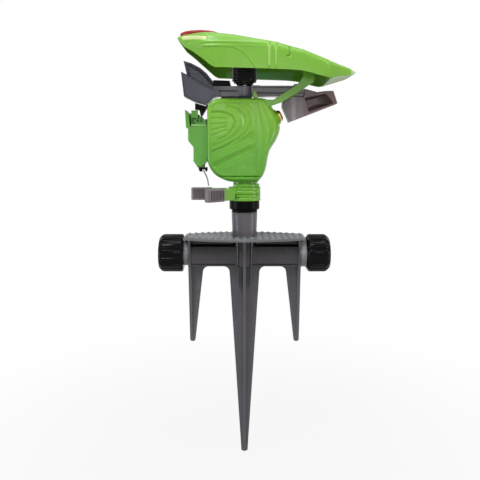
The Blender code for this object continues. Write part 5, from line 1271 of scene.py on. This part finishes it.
# Trip mechanism, heights are from the head's underside
LEVER_CUTS = (
    # outline and depth
    (((-0.0520, 0.0718), (-0.0350, 0.0718), (-0.0350, 0.0800), (-0.0520, 0.0800)), 0.0200),
    (((-0.0494, 0.0590), (-0.0466, 0.0590), (-0.0448, 0.0650), (-0.0494, 0.0650)), 0.0026),
    (((-0.0452, 0.0606), (-0.0392, 0.0606), (-0.0384, 0.0640), (-0.0404, 0.0670), (-0.0436, 0.0670)), 0.0042),
    (((-0.0384, 0.0608), (-0.0350, 0.0608), (-0.0350, 0.0612), (-0.0384, 0.0612)), 0.0012),
)
LEVER_RIB = ((-0.0432, 0.0600), (-0.0424, 0.0600), (-0.0410, 0.0664), (-0.0420, 0.0664))
PAWL_SLIT = ((-0.0407, 0.0690), (-0.0401, 0.0690), (-0.0367, 0.0745), (-0.0375, 0.0745))
CLIP_OUTLINE = (
    (-0.0437, 0.0184), (-0.0431, 0.0158), (-0.0424, 0.0143), (-0.0404, 0.0142), (-0.0400, 0.0148),
    (-0.0396, 0.0166), (-0.0376, 0.0168), (-0.0371, 0.0150), (-0.0366, 0.0142), (-0.0354, 0.0144),
    (-0.0350, 0.0162), (-0.0349, 0.0184),
)
CLIP_SLOT = ((-0.0450, 0.0130), (-0.0330, 0.0130), (-0.0330, 0.0174), (-0.0450, 0.0174))
HOUSING_BEAD = ((-0.0496, 0.0566), (-0.0352, 0.0566), (-0.0352, 0.0580), (-0.0496, 0.0586))
COLLAR_SLOT = ((-0.0135, 0.2396), (-0.0048, 0.2396), (-0.0048, 0.2406), (-0.0135, 0.2406))


def make_lever():
    """The lever that the wire tips: shank, set-back head with a lit block, and the pillar."""
    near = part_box("trip_lever")[0].y
    cutters = [block(outline, near - 0.001, near + depth) for outline, depth in LEVER_CUTS]
    shank = joined("DIFFERENCE", softened_solid("trip_lever"), *cutters)
    taper, centre = [(0.0011, near + 0.0006), (0.0009, near + 0.0040)], (-0.0468, HEAD_Z + 0.0616)
    boss = Shape().turned(taper, "Y", centre, 32)
    joined("UNION", shank, boss.solid(), block(LEVER_RIB, near + 0.0014, near + 0.0060))
    dress(shank, "lever_moulding", clear_green, "lever", ("trip_lever",))
    return even_shading(shank)


def make_pawl():
    """The black stop on the lever: a block under the counterweight and a slanting stay."""
    gap = 0.0011
    under = [(x, z + ARM_Z - HEAD_Z - gap) for x, z in COUNTERWEIGHT_UNDERSIDE[1:4]]
    outline = [(-0.0466, 0.0726), (-0.0426, 0.0726), (-0.0413, 0.0669), (-0.0399, 0.0669), (-0.0345, 0.0762)]
    outline += [(x, float(np.interp(x, *zip(*under)))) for x in (-0.0345, -0.0363, -0.0466)]
    pawl = block(outline, -0.0046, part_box("reversing_pawl")[1].y)
    joined("DIFFERENCE", pawl, block(PAWL_SLIT, -0.0056, -0.0034))
    baked(round_edges(pawl, 0.0003))
    return dress(pawl, "reversing_stop", black, "lever", ("reversing_pawl",))


def make_clip():
    """The fork under the lever. Its two lugs leave the wire's eye in view."""
    low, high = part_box("wire_clip")
    clip = block(CLIP_OUTLINE, low.y, high.y, HEAD_Z, 0.0002, 1)
    joined("DIFFERENCE", clip, block(CLIP_SLOT, -0.0010, 0.0010))
    return dress(clip, "wire_fork", black, "lever", ("wire_clip",))


def make_top_shade_strips():
    """Black strips along the body's top edges: a dark sheet that stands in for the shade in the gap under the arm.
    """
    low = HEAD_Z + BODY_TOP - 0.0004
    outline = ((-0.0222, low), (0.0072, low), (0.0066, low + 0.0023), (-0.0214, low + 0.0023))
    shape = Shape()
    for near, far in ((-0.0118, -0.0098), (0.0098, 0.0118)):
        shape.prism(outline, near, far)
    return shape.piece("body_top_strips", black, "head", "black_moulding")


def make_lower_collar():
    """The lower stop ring, with the narrow slot in its near side."""
    slot = block(COLLAR_SLOT, -0.0170, -0.0100, 0.0)
    ring = joined("DIFFERENCE", softened_solid("lower_trip_collar", 0.0004), slot)
    dress(ring, "lower_stop_ring", green, "lower_collar", ("lower_trip_collar",))
    return even_shading(ring)


def make_housing():
    """The open box round the lever, with a bead along its near rim."""
    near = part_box("trip_housing")[0].y
    bead = block(HOUSING_BEAD, near, near + 0.0010, HEAD_Z, 0.0002, 1)
    housing = joined("UNION", softened_solid("trip_housing"), bead)
    return dress(
        housing, "lever_housing", housing_green, "head", ("trip_housing",), sharp=30.0
    )


def make_wire():
    """The bent wire between the tabs, as thick as in the photo."""
    wire, thicker = softened_solid("trip_wire"), 0.0002
    shape = bmesh.new()
    shape.from_mesh(wire.data)
    shape.normal_update()
    for vert in shape.verts:
        vert.co += vert.normal * thicker
    shape.to_mesh(wire.data)
    shape.free()
    return dress(wire, "bent_trip_wire", wire_steel, "wire", ("trip_wire",), sharp=40.0)


make_hood()
make_insert()
make_cover("front_half_shell", "front_cover", -1)
make_cover("rear_half_shell", "rear_cover", 1)
make_core()
make_top_shade_strips()
make_cheek()
softened("bridge", 0.0005, bridge_lit_green)
make_arm()
make_spoon()
make_spring()
make_plate()
make_spike()
make_nuts()
for tab in TAB_ANGLES:
    make_tab(tab)
softened("upper_trip_collar", 0.0004, green)
make_lower_collar()
softened("bearing_nut", 0.0004, bearing_black)
make_housing()
make_lever()
make_pawl()
make_clip()
softened("nozzle", 0.0003, brass)
make_wire()
softened("arm_bumper", 0.0005, rubber)
softened("pivot_pin", 0.0003, steel)
for index in (1, 2, 3):
    pan_screw(f"rear_cover_screw_{index}", f"cover_screw_{index}", "Y", 1)
pan_screw("bridge_foot_screw", "bridge_screw", "Y", 1)
pan_screw("rear_post_screw", "rear_hood_screw", "Z", -1)
pan_screw("front_post_screw", "front_hood_screw", "Z", -1)
pan_screw("spoon_top_screw", "spoon_screw", "Z", 1)

carried = {
    "hose_washer": rubber, "end_cap_washer": rubber, "stem_tube": brass, "thrust_washer": nylon,
    "arm_washer": black, "trip_pin": steel, "trip_spring": wire_steel, "wire_pin": steel,
}
for node, finish in carried.items():
    piece = frame["nodes"][node]
    piece.data.materials.clear()
    piece.data.materials.append(finish.material)


# Floor, light and camera
def stage_finish(name, base, near, far):
    """A pale surface, white to the camera and in reflections, that keeps the shadow near the object."""
    finish = Finish(name)
    finish.surface(roughness=0.9)
    grain = finish.grain(14.0, 2.0)
    finish.feed(finish.shader.inputs["Base Color"], finish.blend(grain, shaded(base, 0.985), base))
    glow = finish.node("ShaderNodeEmission", sockets={"Color": (1, 1, 1, 1), "Strength": 1.0})
    seen = finish.seen_by(Camera=1, Glossy=1, Transmission=1)
    x, y, z = finish.along()
    away = finish.maths("SQRT", x * x + y * y)
    share = near + finish.step(away, 0.06, 0.45) * (far - near)
    sockets = {0: seen * share, 1: finish.shader.outputs[0], 2: glow.outputs[0]}
    mix = finish.node("ShaderNodeMixShader", sockets=sockets)
    finish.feed(finish.nodes["Material Output"].inputs["Surface"], mix.outputs[0])
    return finish


floor = made_object(((-6, -3, 0), (6, -3, 0), (6, 9, 0), (-6, 9, 0)), ((0, 1, 2, 3),))
floor.name = floor.data.name = "studio_floor"
floor.data.materials.append(stage_finish("studio_floor", colour(150, 150, 150), 0.90, 1.0).material)

world = bpy.data.worlds.new("studio")
bpy.context.scene.world = world
world.use_nodes = True
studio = Nodes(world.node_tree)
lit = studio.nodes["Background"]
studio.feed(lit.inputs["Color"], (0.93, 0.96, 1.0, 1.0))
studio.feed(lit.inputs["Strength"], 0.10)
white = studio.node("ShaderNodeBackground", sockets={"Color": (1, 1, 1, 1)})
seen = studio.seen_by(Camera=1, Transmission=1, Glossy=0.70)
mixed = studio.node("ShaderNodeMixShader", sockets={0: seen, 1: lit.outputs[0], 2: white.outputs[0]})
studio.feed(studio.nodes["World Output"].inputs["Surface"], mixed.outputs[0])

LAMPS = (
    # name, place, what it faces, its two sides, its power and its tint
    ("key", (-0.58, -0.72, 1.32), (0, 0, 0.24), (0.50, 0.60), 11.5, (0.91, 0.965, 1.0)),
    ("fill", (0.86, -0.58, 1.12), (0, 0, 0.22), (0.35, 0.60), 6.5, (1.0, 0.945, 0.89)),
    ("top", (0.05, -0.25, 1.50), (0, 0, 0.3), (0.8, 0.5), 6.0, (1, 1, 1)),
    ("front", (0.10, -1.50, 0.50), (0, 0, 0.27), (0.70, 0.30), 2.4, (1, 1, 1)),
    ("left", (-1.15, -0.30, 0.17), (0, 0, 0.20), (0.35, 0.28), 3.4, (0.93, 0.97, 1.0)),
    ("right", (1.15, -0.30, 0.17), (0, 0, 0.20), (0.35, 0.28), 2.8, (1.0, 0.97, 0.94)),
    ("back_left", (-0.9, 0.9, 0.8), (0, 0, 0.25), (0.6, 0.8), 2.0, (1, 1, 1)),
    ("back_right", (0.9, 0.9, 0.8), (0, 0, 0.25), (0.6, 0.8), 2.0, (1, 1, 1)),
)
for name, place, target, sides, power, tint in LAMPS:
    lamp = bpy.data.lights.new(name, "AREA")
    lamp.shape = "RECTANGLE"
    lamp.size, lamp.size_y = sides
    lamp.energy = power
    lamp.color = tint
    holder = bpy.data.objects.new(name, lamp)
    holder.location = place
    holder.rotation_euler = (Vector(target) - Vector(place)).to_track_quat("-Z", "Y").to_euler()
    bpy.context.scene.collection.objects.link(holder)

scene = bpy.context.scene
scene.view_settings.view_transform = "Standard"
camera = bpy.data.cameras.new("photo_view")
camera.sensor_width = 36.0
camera.lens = 41.45
camera.shift_x = -0.00625
camera.shift_y = -0.1667
camera.clip_start = 0.01
camera.clip_end = 50.0
holder = bpy.data.objects.new("photo_view", camera)
holder.location = (-0.0014, -0.525, 0.275)
holder.rotation_euler = (math.radians(90), 0, 0)
scene.collection.objects.link(holder)
scene.camera = holder
